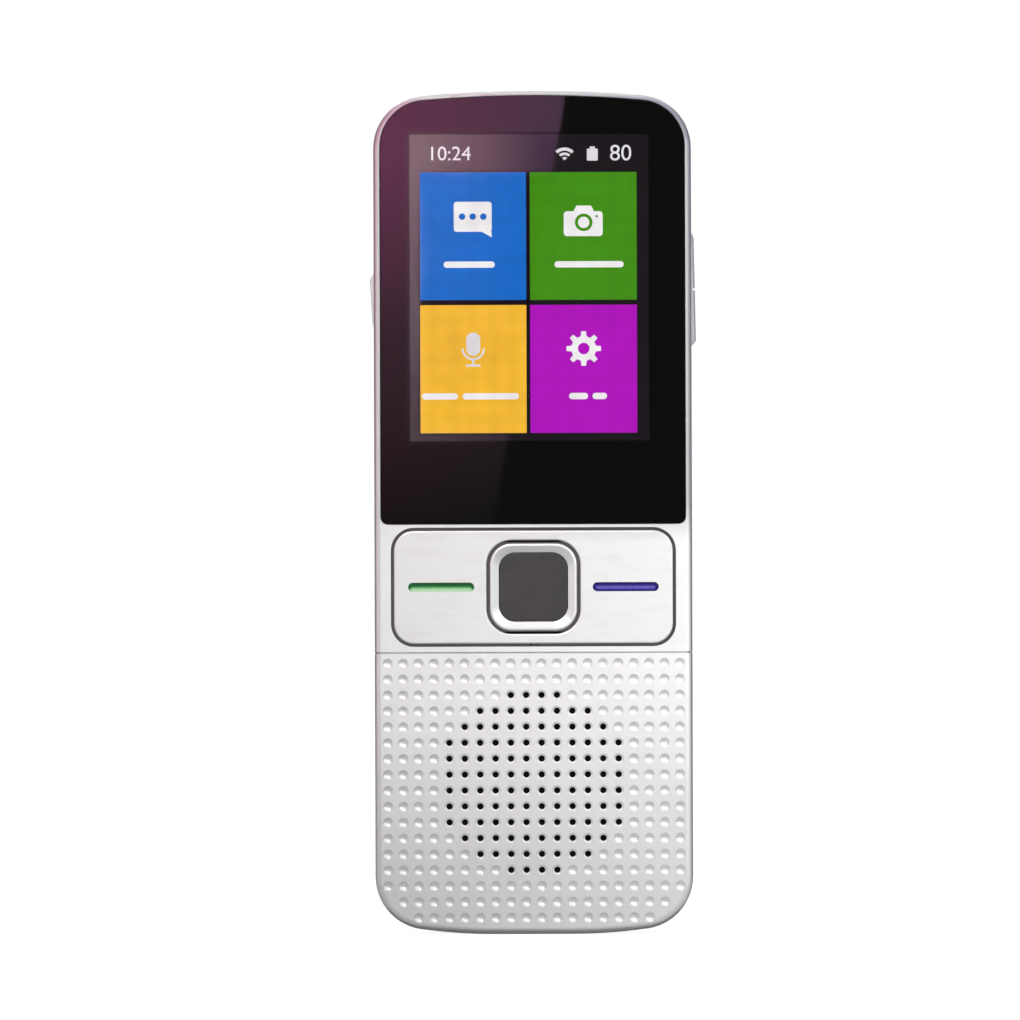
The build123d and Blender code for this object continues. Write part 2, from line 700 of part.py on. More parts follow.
with BuildPart() as front_switches:
    with BuildSketch(level(stem_seat_y)):
        with Locations(*front_stems.values()):
            RectangleRounded(4.6, 4.6, 0.4)
    extrude(amount=-switch_depth)
    chamfer(front_switches.faces().group_by(Axis.Y)[0].edges(), length=0.2)
    bore_y = (stem_seat_y - 1, board_front_y - 0.5)
    rods(list(front_stems.values()), stem_radius + 0.04, bore_y, Mode.SUBTRACT)
keep(front_switches, "front_switches")

for node, point in front_stems.items():
    with BuildPart() as stem:
        rods([point], stem_radius, (stem_tip_y, board_front_y - 0.85))
        chamfer(stem.edges().group_by(Axis.Y)[0], length=0.12)
    keep(stem, node)

# A side switch lies on the back of the board, at its edge, with its stem pointing outwards.
side_stems = {
    "volume_up_stem": (1, volume_z + volume_switch_offset),
    "volume_down_stem": (1, volume_z - volume_switch_offset),
    "power_stem": (-1, power_z[0]),
}

with BuildPart() as side_switches:
    for side, z in side_stems.values():
        x = sorted((side * side_switch_x, side * (side_switch_x - 1.9)))
        block(x, (board_back_y, board_back_y + 1.6), around(z, 2.2))
        with BuildSketch(Plane.YZ.offset(side * (side_switch_x - 1.2))):
            with Locations((side_axis_y, z)):
                Circle(side_stem_radius + 0.04)
        extrude(amount=side * 3, mode=Mode.SUBTRACT)
keep(side_switches, "side_switches")

for node, (side, z) in side_stems.items():
    with BuildPart() as side_stem:
        with BuildSketch(Plane.YZ.offset(side * (side_switch_x - 0.7))):
            with Locations((side_axis_y, z)):
                Circle(side_stem_radius)
        extrude(amount=side * (side_stem_tip_x - side_switch_x + 0.7))
        chamfer(side_stem.edges().group_by(Axis.X)[-1 if side > 0 else 0], length=0.08)
    keep(side_stem, node)

with BuildPart() as indicator_leds:
    for side in (-1, 1):
        block(around(side * lamp_x, 0.8), (board_front_y - 0.6, board_front_y), around(keypad_z, 0.4))
keep(indicator_leds, "indicator_leds")

can_x = (-19.0, -3.0)
can_z = (110.0, 127.0)
can_top_y = 0.7
with BuildPart() as shield_can:
    block(can_x, (board_back_y, can_top_y), can_z)
    fillet(shield_can.edges().filter_by(Axis.Y), radius=0.6)
    fillet(shield_can.faces().sort_by(Axis.Y)[-1].edges(), radius=0.3)
    block(
        (can_x[0] + 0.2, can_x[1] - 0.2),
        (board_back_y - 1, can_top_y - 0.2),
        (can_z[0] + 0.2, can_z[1] - 0.2),
        Mode.SUBTRACT,
    )
keep(shield_can, "shield_can")

with BuildPart() as processor_chip:
    block((-17.5, -9.5), (board_back_y, -0.2), (114.5, 122.5))
    chamfer(processor_chip.faces().sort_by(Axis.Y)[-1].edges(), length=0.15)
keep(processor_chip, "processor_chip")

with BuildPart() as memory_chips:
    for low_z in (111.2, 119.4):
        block((-8.3, -4.1), (board_back_y, -0.3), (low_z, low_z + 6.2))
keep(memory_chips, "memory_chips")

# ---- Battery ----------------------------------------------------------------------------

battery_y = (-0.9, 4.1)
battery_z = (49.5, 106.5)
with BuildPart() as battery_pack:
    block((-18.5, 18.5), battery_y, battery_z)
    fillet(battery_pack.edges().filter_by(Axis.Z), radius=1.6)
    fillet(battery_pack.edges(), radius=0.4)
keep(battery_pack, "battery_pack")

with BuildPart() as battery_tape:
    slab(rounded((30, 44), 2.0, (0, 77)), (board_back_y, battery_y[0]))
keep(battery_tape, "battery_tape")

with BuildPart() as battery_circuit:
    block((-14.0, 14.0), (0.6, 1.4), (46.9, battery_z[0]))
    block((-11.0, -6.0), (1.4, 2.1), (47.3, 49.1))
    block((-3.5, 1.0), (1.4, 2.1), (47.3, 49.1))
keep(battery_circuit, "battery_circuit")

with BuildPart() as battery_connector:
    block((5.5, 10.5), (board_back_y, 0.6), (42.0, 44.6))
    chamfer(battery_connector.faces().sort_by(Axis.Y)[-1].edges(), length=0.2)
keep(battery_connector, "battery_connector")

with BuildPart() as battery_leads:
    for x in (7.1, 8.9):
        with BuildLine() as lead:
            FilletPolyline((x, 1.75, 48.6), (x, 1.75, 46.1), (x, -0.3, 46.1), (x, -0.3, 44.6), radius=0.7)
        with BuildSketch(Plane(lead.line @ 0, z_dir=lead.line % 0)):
            Circle(lead_radius)
        sweep(path=lead.line)
keep(battery_leads, "battery_leads")

# ---- Camera and flash -------------------------------------------------------------------

with BuildPart() as camera_module:
    slab(rounded((9.0, 9.0), 0.6, camera_at), (board_back_y, 3.2))
    rods([camera_at], 3.3, (3.2, 4.6))
    rods([camera_at], 2.4, (2.6, 4.7), Mode.SUBTRACT)
keep(camera_module, "camera_module")

with BuildPart() as camera_lens:
    rods([camera_at], 2.35, (2.6, 4.2))
    # The front of the lens is a shallow dome.
    with Locations((camera_at[0], 4.2 - 4.6, camera_at[1])):
        Sphere(5.0)
    rods([camera_at], 2.35, (2.6, 5.2), Mode.INTERSECT)
keep(camera_lens, "camera_lens")

trim_front_y = back_y - camera_pocket_depth
with BuildPart() as camera_trim:
    rods([camera_at], camera_trim_radius, (trim_front_y, back_y - 0.08))
    rods([camera_at], camera_window_radius, (0, back_y), Mode.SUBTRACT)
    chamfer(camera_trim.edges().group_by(Axis.Y)[-1], length=0.25)
keep(camera_trim, "camera_trim")

with BuildPart() as camera_window:
    rods([camera_at], camera_window_radius - 0.02, (trim_front_y, back_y - 0.4))
keep(camera_window, "camera_window")

with BuildPart() as flash_led:
    slab(rounded((3.0, 3.0), 0.3, flash_at), (board_back_y, -0.5))
keep(flash_led, "flash_led")

with BuildPart() as flash_guide:
    rods([flash_at], flash_radius, (0.1, back_y - 0.08))
    chamfer(flash_guide.edges().group_by(Axis.Y)[-1], length=0.12)
    rods([flash_at], flash_radius + 0.6, (inner_back_y - 0.6, inner_back_y))
keep(flash_guide, "flash_guide")

with BuildPart() as antenna_film:
    slab(rounded((14.0, 12.0), 1.0, (-11.5, 118.5)), (inner_back_y - 0.12, inner_back_y))
keep(antenna_film, "antenna_film")

# ---- Bottom board -----------------------------------------------------------------------

with BuildPart() as bottom_board:
    block((-13.5, 16.2), bottom_board_y, (2.5, 9.2))
    fillet(bottom_board.edges().filter_by(Axis.Y), radius=0.8)
    rods(screw_points, post_radius + 0.2, (bottom_board_y[0] - 1, bottom_board_y[1] + 1), Mode.SUBTRACT)
keep(bottom_board, "bottom_board")

with BuildPart() as usb_shell:
    with BuildSketch(Plane.XY.offset(socket_low_z)):
        with Locations((0, socket_y)):
            RectangleRounded(socket_width, socket_height, 1.6)
            RectangleRounded(socket_width - 0.6, socket_height - 0.6, 1.3, mode=Mode.SUBTRACT)
    extrude(amount=socket_high_z - socket_low_z)
    block(around(0, 4.0), around(socket_y, 1.4), (socket_high_z - 0.8, socket_high_z - 0.4))
keep(usb_shell, "usb_shell")

with BuildPart() as usb_tongue:
    block(around(0, 3.3), around(socket_y, 0.35), (1.1, socket_high_z - 0.8))
    fillet(usb_tongue.edges().filter_by(Axis.Y).group_by(Axis.Z)[0], radius=0.3)
keep(usb_tongue, "usb_tongue")

# Each microphone points at its hole: x, the height of its boot's end, and the way inwards.
microphones_at = ((bottom_microphone_x, 2.0, 1), (top_microphone_x, body_height - 2.0, -1))


def upright_rod(x, y, z, radius, length, mode=Mode.ADD):
    """A round rod along Z that starts at z."""
    with BuildSketch(Plane.XY.offset(z)) as circle:
        with Locations((x, y)):
            Circle(radius)
    extrude(circle.sketch, amount=length, mode=mode)


with BuildPart() as microphones:
    for x, z, way in microphones_at:
        upright_rod(x, microphone_y, z + way * 0.8, 1.4, way * 1.3)
keep(microphones, "microphones")

with BuildPart() as microphone_boots:
    for x, z, way in microphones_at:
        upright_rod(x, microphone_y, z, boot_radius, way * 2.4)
        upright_rod(x, microphone_y, z + way * 0.8, 1.4, way * 3, Mode.SUBTRACT)
        upright_rod(x, microphone_y, z - way, hole_radius, way * 3, Mode.SUBTRACT)
keep(microphone_boots, "microphone_boots")

ribbon_x = (11.6, 15.4)
with BuildPart() as board_ribbon:
    with BuildSketch(Plane.YZ.offset(ribbon_x[0])):
        with BuildLine():
            FilletPolyline((-0.6, 43.5), (-0.6, 39.5), (1.175, 36.0), (1.175, 5.0), radius=2.0)
            offset(amount=0.07, side=Side.BOTH)
        make_face()
    extrude(amount=ribbon_x[1] - ribbon_x[0])
keep(board_ribbon, "board_ribbon")
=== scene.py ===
# %% [markdown]
# # A handheld voice translator
# The CAD model gives every part its true size and place. This script loads it as a fixed frame,
# gives each part the finish of its real material, and adds what is too fine for CAD: the lit
# picture on the display, the contacts in the charging socket and the weave of the cloth behind
# the grille. Blender's lengths are metres, so a value in millimetres is multiplied by mm. +Z is
# up and the display faces -Y.

import math

import bmesh
import bpy
import numpy as np
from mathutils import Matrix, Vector


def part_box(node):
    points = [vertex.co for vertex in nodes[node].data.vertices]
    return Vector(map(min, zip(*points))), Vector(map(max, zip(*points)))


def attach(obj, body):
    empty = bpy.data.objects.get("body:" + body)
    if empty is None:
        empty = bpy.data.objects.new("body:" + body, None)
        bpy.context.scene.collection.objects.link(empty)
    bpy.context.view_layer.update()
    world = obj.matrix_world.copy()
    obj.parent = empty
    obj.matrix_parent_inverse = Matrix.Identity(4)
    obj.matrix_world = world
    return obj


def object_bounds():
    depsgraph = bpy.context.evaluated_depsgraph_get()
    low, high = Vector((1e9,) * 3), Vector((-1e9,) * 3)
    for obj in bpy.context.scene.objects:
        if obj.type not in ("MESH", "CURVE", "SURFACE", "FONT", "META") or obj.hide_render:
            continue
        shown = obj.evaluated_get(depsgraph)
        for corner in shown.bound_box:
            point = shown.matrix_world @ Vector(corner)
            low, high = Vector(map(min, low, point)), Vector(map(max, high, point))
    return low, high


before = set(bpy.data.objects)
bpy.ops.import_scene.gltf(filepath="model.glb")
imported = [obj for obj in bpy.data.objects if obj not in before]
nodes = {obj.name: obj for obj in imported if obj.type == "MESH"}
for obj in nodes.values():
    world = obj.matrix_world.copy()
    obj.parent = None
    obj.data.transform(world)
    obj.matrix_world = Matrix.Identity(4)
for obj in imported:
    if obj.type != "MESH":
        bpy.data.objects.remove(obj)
cad_low, cad_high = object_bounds()
mm = 0.001
print("CAD nodes:", len(nodes), "box:", [round(v / mm, 2) for v in (*cad_low, *cad_high)])

# %% [markdown]
# ## Colours and nodes
# A colour is easiest to pick as the hex value a paint program shows, which is sRGB. The renderer
# works with linear light, so one function turns hex to linear. One more function adds a shader
# node with its settings and links, so that every material below reads as a list of what it does.


# %% Colour and node helpers
def linear(hex_colour):
    """sRGB hex to linear RGBA: the standard sRGB curve, straight near black and a power above."""
    c = np.array([int(hex_colour[i : i + 2], 16) for i in (1, 3, 5)]) / 255.0
    c = np.where(c <= 0.04045, c / 12.92, ((c + 0.055) / 1.055) ** 2.4)
    return (*c.tolist(), 1.0)


def add_node(tree, kind, inputs=None, **settings):
    """Adds a node. An input's value is a constant, or an output socket to link from."""
    node = tree.nodes.new(kind)
    for key, value in settings.items():
        setattr(node, key, value)
    for key, value in (inputs or {}).items():
        if isinstance(value, bpy.types.NodeSocket):
            tree.links.new(value, node.inputs[key])
        else:
            node.inputs[key].default_value = value
    return node


def new_material(name, **constants):
    """A material with a Principled surface whose plain constants sit on its own sockets."""
    material = bpy.data.materials.new(name)
    material.use_nodes = True
    surface = material.node_tree.nodes["Principled BSDF"]
    for key, value in constants.items():
        surface.inputs[key.replace("_", " ")].default_value = value
    return material, material.node_tree, surface


def set_ramp(ramp, stops):
    """Sets a colour ramp's stops, given as (place, hex colour) pairs."""
    elements = ramp.color_ramp.elements
    while len(elements) < len(stops):
        elements.new(0.5)
    for element, (place, colour) in zip(elements, stops):
        element.position = place
        element.color = linear(colour)


def dress(material, *names):
    """Gives CAD nodes a material in place of the plain one they came with."""
    for name in names:
        mesh = nodes[name].data
        mesh.materials.clear()
        mesh.materials.append(material)


print("silver in linear light:", [round(v, 3) for v in linear("#e6e4e6")[:3]])

# %% [markdown]
# ## The camera
# The device is seen square on from far away, through a long lens, so that its sides don't show.
# At 1.6 m, a lens of about 355 mm on a 36 mm sensor makes a square view 161.3 mm wide at the
# device's front. It is turned by a fifth of a degree, as a camera held by hand is.


# %% Make the camera
def new_object(name, data):
    """An object made from its data and linked into the scene."""
    thing = bpy.data.objects.new(name, data)
    bpy.context.scene.collection.objects.link(thing)
    return thing


# All in mm; the distance and the depth are from the device's middle.
lens_distance = 1600.0
front_depth = 6.8
view_width = 161.34
camera_x, camera_z = -3.67, 67.15
sensor_width = 36.0

camera = bpy.data.cameras.new("camera")
camera.sensor_width = sensor_width
camera.lens = sensor_width * (lens_distance - front_depth) / view_width
camera.clip_start = 0.01
camera.clip_end = 20.0
camera_object = new_object("camera", camera)
camera_object.location = (camera_x * mm, -lens_distance * mm, camera_z * mm)
camera_object.rotation_euler = (math.radians(90), math.radians(0.19), 0)
bpy.context.scene.camera = camera_object
bpy.context.scene.view_settings.view_transform = "Standard"
print("lens:", round(camera.lens, 1), "mm")

# %% [markdown]
# ## Meshes from arrays
# Most new pieces here are grids: rows of points worked out by a formula, joined to their
# neighbours by four-sided faces. One function turns such a grid into a mesh. It can join the last
# column to the first, and it merges points that meet at a pole.


# %% Mesh helpers
same_point = 1e-7


def grid_mesh(name, points, closed=False, smooth=True):
    """A mesh from an array of shape (rows, columns, 3); each face joins (r, c) to (r + 1, c + 1)."""
    rows, columns, _ = points.shape
    c = np.arange(columns if closed else columns - 1)
    row, column = np.meshgrid(np.arange(rows - 1), c, indexing="ij")
    beside = (column + 1) % columns
    here, above = row * columns, (row + 1) * columns
    faces = np.stack([here + column, here + beside, above + beside, above + column], -1)
    mesh = bpy.data.meshes.new(name)
    mesh.from_pydata(points.reshape(-1, 3).tolist(), [], faces.reshape(-1, 4).tolist())
    work = bmesh.new()
    work.from_mesh(mesh)
    bmesh.ops.remove_doubles(work, verts=work.verts, dist=same_point)
    bmesh.ops.recalc_face_normals(work, faces=work.faces)
    work.to_mesh(mesh)
    work.free()
    mesh.polygons.foreach_set("use_smooth", [smooth] * len(mesh.polygons))
    return mesh


def add_piece(name, mesh, material, body):
    """Links a finished mesh as a piece that rides on a body."""
    mesh.materials.append(material)
    piece = new_object(name, mesh)
    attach(piece, body)


print("points within", same_point, "m of each other are merged")

# %% [markdown]
# ## Floor and background
# The device stands on a white sweep: a floor that curves up into a wall behind it, so that no
# horizon shows. The sweep is one profile line, a straight floor, a quarter circle and a straight
# wall, carried sideways. What the camera and any gloss see of it is lifted towards plain white,
# and its shadows stay.

# %% Build the sweep
floor_front, floor_back, wall_top = -4.0, 1.2, 3.0
bend_radius = 0.5
sweep_sides = (-4.0, 4.0)


def sweep_profile(steps=24):
    """Points (y, z): the floor, a quarter circle that starts at its back, and the wall."""
    angle = np.linspace(0, np.pi / 2, steps)
    bend_y = floor_back + bend_radius * np.sin(angle)
    bend_z = bend_radius - bend_radius * np.cos(angle)
    bend = np.stack([bend_y, bend_z], -1)
    return np.vstack([[floor_front, 0.0], bend, [floor_back + bend_radius, wall_top]])


def seen_share(tree):
    """1 for the rays that see a thing, from the camera or through gloss or glass, and 0 for those
    that only gather its light."""
    rays = add_node(tree, "ShaderNodeLightPath")
    share = rays.outputs["Is Camera Ray"]
    for kind in ("Is Glossy Ray", "Is Transmission Ray"):
        either = add_node(
            tree, "ShaderNodeMath", {0: share, 1: rays.outputs[kind]}, operation="MAXIMUM"
        )
        share = either.outputs[0]
    return share


profile = sweep_profile()
sweep_points = np.zeros((len(profile), len(sweep_sides), 3))
sweep_points[..., 0] = sweep_sides
sweep_points[..., 1:] = profile[:, None, :]
sweep_mesh = grid_mesh("sweep", sweep_points)
new_object("sweep", sweep_mesh)

material, tree, surface = new_material(
    "white_paper_sweep", Base_Color=linear("#b8b8b8"), Roughness=0.9
)
glow = add_node(tree, "ShaderNodeEmission", {"Color": linear("#ffffff"), "Strength": 0.85})
mixed = add_node(tree, "ShaderNodeAddShader", {0: surface.outputs[0], 1: glow.outputs[0]})
chosen = add_node(
    tree, "ShaderNodeMixShader", {0: seen_share(tree), 1: surface.outputs[0], 2: mixed.outputs[0]}
)
tree.links.new(chosen.outputs[0], tree.nodes["Material Output"].inputs["Surface"])
sweep_mesh.materials.append(material)
print("sweep points:", len(profile) * len(sweep_sides))

# %% [markdown]
# ## Light
# A small softbox hangs close above the device's front, a little to the left. It leaves the top of
# each dimple dark and its lower wall bright, and as it is near, its light fades towards the foot.
# A wide, weaker one fills from the right, a third lights the back, and the world gives the rest.


# %% Lamps and world
def aim(thing, place, target):
    """Puts a lamp or sheet at a place and turns its -Z to a target."""
    thing.location = place
    thing.rotation_euler = (Vector(target) - Vector(place)).to_track_quat("-Z", "Y").to_euler()


device_middle = (0.0, 0.0, 0.067)
for lamp_name, place, width, watts in (
    ("key_softbox", (-0.12, -0.42, 0.34), 0.12, 0.74),
    ("fill_softbox", (0.5, -0.7, 0.4), 0.5, 0.9),
    ("back_softbox", (-0.4, 0.8, 0.7), 0.8, 2.5),
):
    lamp = bpy.data.lights.new(lamp_name, "AREA")
    lamp.shape = "SQUARE"
    lamp.size = width
    lamp.energy = watts
    lamp_object = new_object(lamp_name, lamp)
    lamp_object.visible_camera = False
    aim(lamp_object, place, device_middle)

world = bpy.data.worlds.new("studio")
world.use_nodes = True
bpy.context.scene.world = world
tree = world.node_tree
background = tree.nodes["Background"]
background.inputs["Color"].default_value = linear("#ffffff")
strength = add_node(
    tree, "ShaderNodeMapRange", {"Value": seen_share(tree), "To Min": 0.33, "To Max": 1.38}
)
tree.links.new(strength.outputs["Result"], background.inputs["Strength"])
print("lamps:", len(bpy.data.lights))

# %% [markdown]
# ## Boards and walls
# Satin silver needs something darker than a white room to reflect, or its edges and its dimples
# vanish. So a studio sets grey boards round it. Here they are flat sheets that only reflections
# can see, on the floor, in front and at the sides.


# %% Add the sheets
def studio_sheet(name, place, target, size, colour, strength=1.0):
    """A flat sheet of a size (width, height) in metres that only glossy rays see."""
    w, h = size[0] / 2, size[1] / 2
    points = np.array([[[-w, -h, 0], [-w, h, 0]], [[w, -h, 0], [w, h, 0]]], float)
    sheet = new_object(name, grid_mesh(name, points, smooth=False))
    aim(sheet, place, target)
    sheet.visible_camera = sheet.visible_shadow = sheet.visible_diffuse = False
    sheet.visible_transmission = False
    material, tree, _ = new_material(name)
    glow = add_node(tree, "ShaderNodeEmission", {"Color": linear(colour), "Strength": strength})
    tree.links.new(glow.outputs[0], tree.nodes["Material Output"].inputs["Surface"])
    sheet.data.materials.append(material)
    return sheet


# The dark board that the glass mirrors straight back, just in front of the lens.
lens_board = studio_sheet(
    "lens_board", (0.003, -1.2, 0.122), (0.003, 0, 0.122), (0.16, 0.22), "#ffffff", strength=0.11
)
lens_board.visible_transmission = True
# Grey sheets that draw the dimples and the edges: on the floor, with a pale strip before the foot
# and a dark one under it, as its own shadow would be, in front, and at each side a little behind.
board_z, strip_z, above_z = 0.00005, 0.0001, 0.5
studio_sheet("floor_board", (0, 0.2, board_z), (0, 0.2, above_z), (2.4, 0.8), "#bebebe")
studio_sheet("pale_strip", (0, -0.018, strip_z), (0, -0.018, above_z), (0.2, 0.02), "#d6d6d6")
studio_sheet("foot_strip", (0, 0, strip_z), (0, 0, above_z), (0.056, 0.0146), "#787878")
studio_sheet("front_board", (-0.2, -0.26, 0.07), device_middle, (0.16, 0.3), "#acacac")
studio_sheet("left_board", (-0.4, 0.24, 0.1), device_middle, (0.46, 0.9), "#545254")
studio_sheet("right_board", (0.4, 0.24, 0.1), device_middle, (0.46, 0.9), "#4c4c4f")
# A rose wall on the left and a lilac one on the right tint the rim beside the glass, and two
# smaller sheets close above the top tint the rim over it.
glass_middle = (0, 0, 0.12)
studio_sheet("rose_wall", (-0.38, -0.06, 0.22), glass_middle, (0.27, 0.28), "#f76cb0")
studio_sheet("lilac_wall", (0.38, -0.06, 0.16), glass_middle, (0.24, 0.3), "#c2bdd4")
studio_sheet("rose_roof", (-0.05, -0.026, 0.162), (-0.03, 0, 0.133), (0.1, 0.07), "#dc6ca4")
studio_sheet("lilac_roof", (0.05, -0.026, 0.162), (0.03, 0, 0.133), (0.1, 0.07), "#b0acd0")

# %% [markdown]
# ## The reflection in the cover glass
# Polished glass mirrors the room: a rose-coloured wall, lighter at the top, that ends at a
# straight slanting edge. A card that only reflections see gives that. A point of the glass
# mirrors the card where the straight line from the lens's mirror image meets it, so the card's
# corners are the glass's corners carried out along those lines. The part of the card that shows in
# the display's window is greyer, as the cell's own coatings mirror all colours alike, and the card
# is dimmer where it shows on the menu, so that the picture's colours stay clean.

# %% Place the rose card
# All in mm. The edge is given by its lower and upper end, as they show on the glass.
card_distance = 1190.0
card_left = -140.0
glass_depth = 6.75
edge_low, edge_high = (-10.6, 40.0), (8.6, 152.0)
window_x, window_z = (-19.7, 18.7), (77.8, 126.9)
menu_x, menu_z = (-17.8, 16.55), (79.3, 120.6)


def mirrored(x, z):
    """Where the card shows at a point (x, z) of the glass, in mm: the point moved away from the
    lens's place in proportion to the card's distance from the glass."""
    share = (card_distance - glass_depth) / (lens_distance - glass_depth)
    return x + (x - camera_x) * share, z + (z - camera_z) * share


card_edge = [mirrored(*edge_low), mirrored(*edge_high)]
card_points = np.array(
    [[(card_left, -card_distance, z), (x, -card_distance, z)] for x, z in card_edge]
)
card = new_object("rose_card", grid_mesh("rose_card", card_points * mm, smooth=False))
card.visible_camera = card.visible_shadow = card.visible_diffuse = False
print("card edge in mm:", [tuple(round(v, 1) for v in corner) for corner in card_edge])

# %% Colour the rose card
material, tree, surface = new_material("rose_card")
place = add_node(tree, "ShaderNodeTexCoord")
along = add_node(tree, "ShaderNodeSeparateXYZ", {"Vector": place.outputs["Object"]})
across, height = (
    add_node(
        tree,
        "ShaderNodeMapRange",
        {"Value": along.outputs[axis], "From Min": low * mm, "From Max": high * mm},
    )
    for axis, low, high in (("X", -40, 12), ("Z", 64, 182))
)
# Two shades, one round the window and one in it: each a ramp across times a ramp up the card.
shades = []
for across_stops, height_stops in (
    (
        [(0.0, "#ff90cb"), (1.0, "#bf90b1")],
        [(0.0, "#507959"), (0.45, "#9bbfa6"), (0.85, "#ffffff")],
    ),
    (
        [(0.2, "#ecbfce"), (0.55, "#c897ad"), (0.87, "#7e617e")],
        [(0.0, "#6f816f"), (0.45, "#c0cbce"), (0.85, "#ffffff")],
    ),
):
    tint = add_node(tree, "ShaderNodeValToRGB", {"Fac": across.outputs["Result"]})
    set_ramp(tint, across_stops)
    fade = add_node(tree, "ShaderNodeValToRGB", {"Fac": height.outputs["Result"]})
    set_ramp(fade, height_stops)
    both = add_node(
        tree,
        "ShaderNodeMix",
        {0: 1.0, 6: tint.outputs["Color"], 7: fade.outputs["Color"]},
        data_type="RGBA",
        blend_type="MULTIPLY",
    )
    shades.append(both.outputs[2])


def card_part(x, z):
    """1 where the card shows inside a rectangle of the glass, given by its ranges in mm, else 0."""
    share = 1.0
    for axis, low, high in zip("XZ", mirrored(x[0], z[0]), mirrored(x[1], z[1])):
        for limit, test in ((low, "GREATER_THAN"), (high, "LESS_THAN")):
            inside = add_node(
                tree, "ShaderNodeMath", {0: along.outputs[axis], 1: limit * mm}, operation=test
            )
            product = add_node(
                tree, "ShaderNodeMath", {0: share, 1: inside.outputs[0]}, operation="MULTIPLY"
            )
            share = product.outputs[0]
    return share


shown = add_node(
    tree,
    "ShaderNodeMix",
    {0: card_part(window_x, window_z), 6: shades[0], 7: shades[1]},
    data_type="RGBA",
)
strength = add_node(
    tree,
    "ShaderNodeMapRange",
    {"Value": card_part(menu_x, menu_z), "To Min": 3.0, "To Max": 0.4},
)
glow = add_node(
    tree, "ShaderNodeEmission", {"Color": shown.outputs[2], "Strength": strength.outputs["Result"]}
)
tree.links.new(glow.outputs[0], tree.nodes["Material Output"].inputs["Surface"])
card.data.materials.append(material)
print("nodes in the card's material:", len(tree.nodes))

# %% [markdown]
# ## The silver housing
# The two housings and the grille are moulded ABS, sprayed with a satin silver paint: aluminium
# flakes of a few hundredths of a millimetre in a half-matt lacquer. To the eye that is a bright,
# soft metal with a faint sparkle, and the coat's thickness varies a little, so that it is cooler
# in some patches and warmer in others. One noise of a finger's width makes the patches, and one
# of 0.4 mm, coarser than the real flakes so that it shows, makes the sparkle.


# %% Pattern helpers
def per(size):
    """A pattern's scale for features of a size in mm, as Object coordinates are in metres."""
    return 1000.0 / size


def patchy(tree, place, size, stops=None):
    """A soft noise with features of a size in mm and, where it has stops, a colour ramp over it."""
    noise = add_node(
        tree,
        "ShaderNodeTexNoise",
        {"Vector": place.outputs["Object"], "Scale": per(size), "Detail": 3.0, "Roughness": 0.55},
    )
    value = noise.outputs["Fac"]
    if stops is None:
        return value, None
    ramp = add_node(tree, "ShaderNodeValToRGB", {"Fac": value})
    set_ramp(ramp, stops)
    return value, ramp.outputs["Color"]


def rough_between(tree, surface, value, low, high):
    """Spreads a noise's middle range over a range of roughness."""
    spread = add_node(
        tree,
        "ShaderNodeMapRange",
        {"Value": value, "From Min": 0.3, "From Max": 0.7, "To Min": low, "To Max": high},
    )
    tree.links.new(spread.outputs["Result"], surface.inputs["Roughness"])


def raised(tree, surface, value, height):
    """A bump of a height in mm from a value between 0 and 1."""
    relief = add_node(
        tree, "ShaderNodeBump", {"Height": value, "Distance": height * mm, "Strength": 1.0}
    )
    tree.links.new(relief.outputs["Normal"], surface.inputs["Normal"])


print("a pattern of 9 mm has a scale of", round(per(9.0), 1))
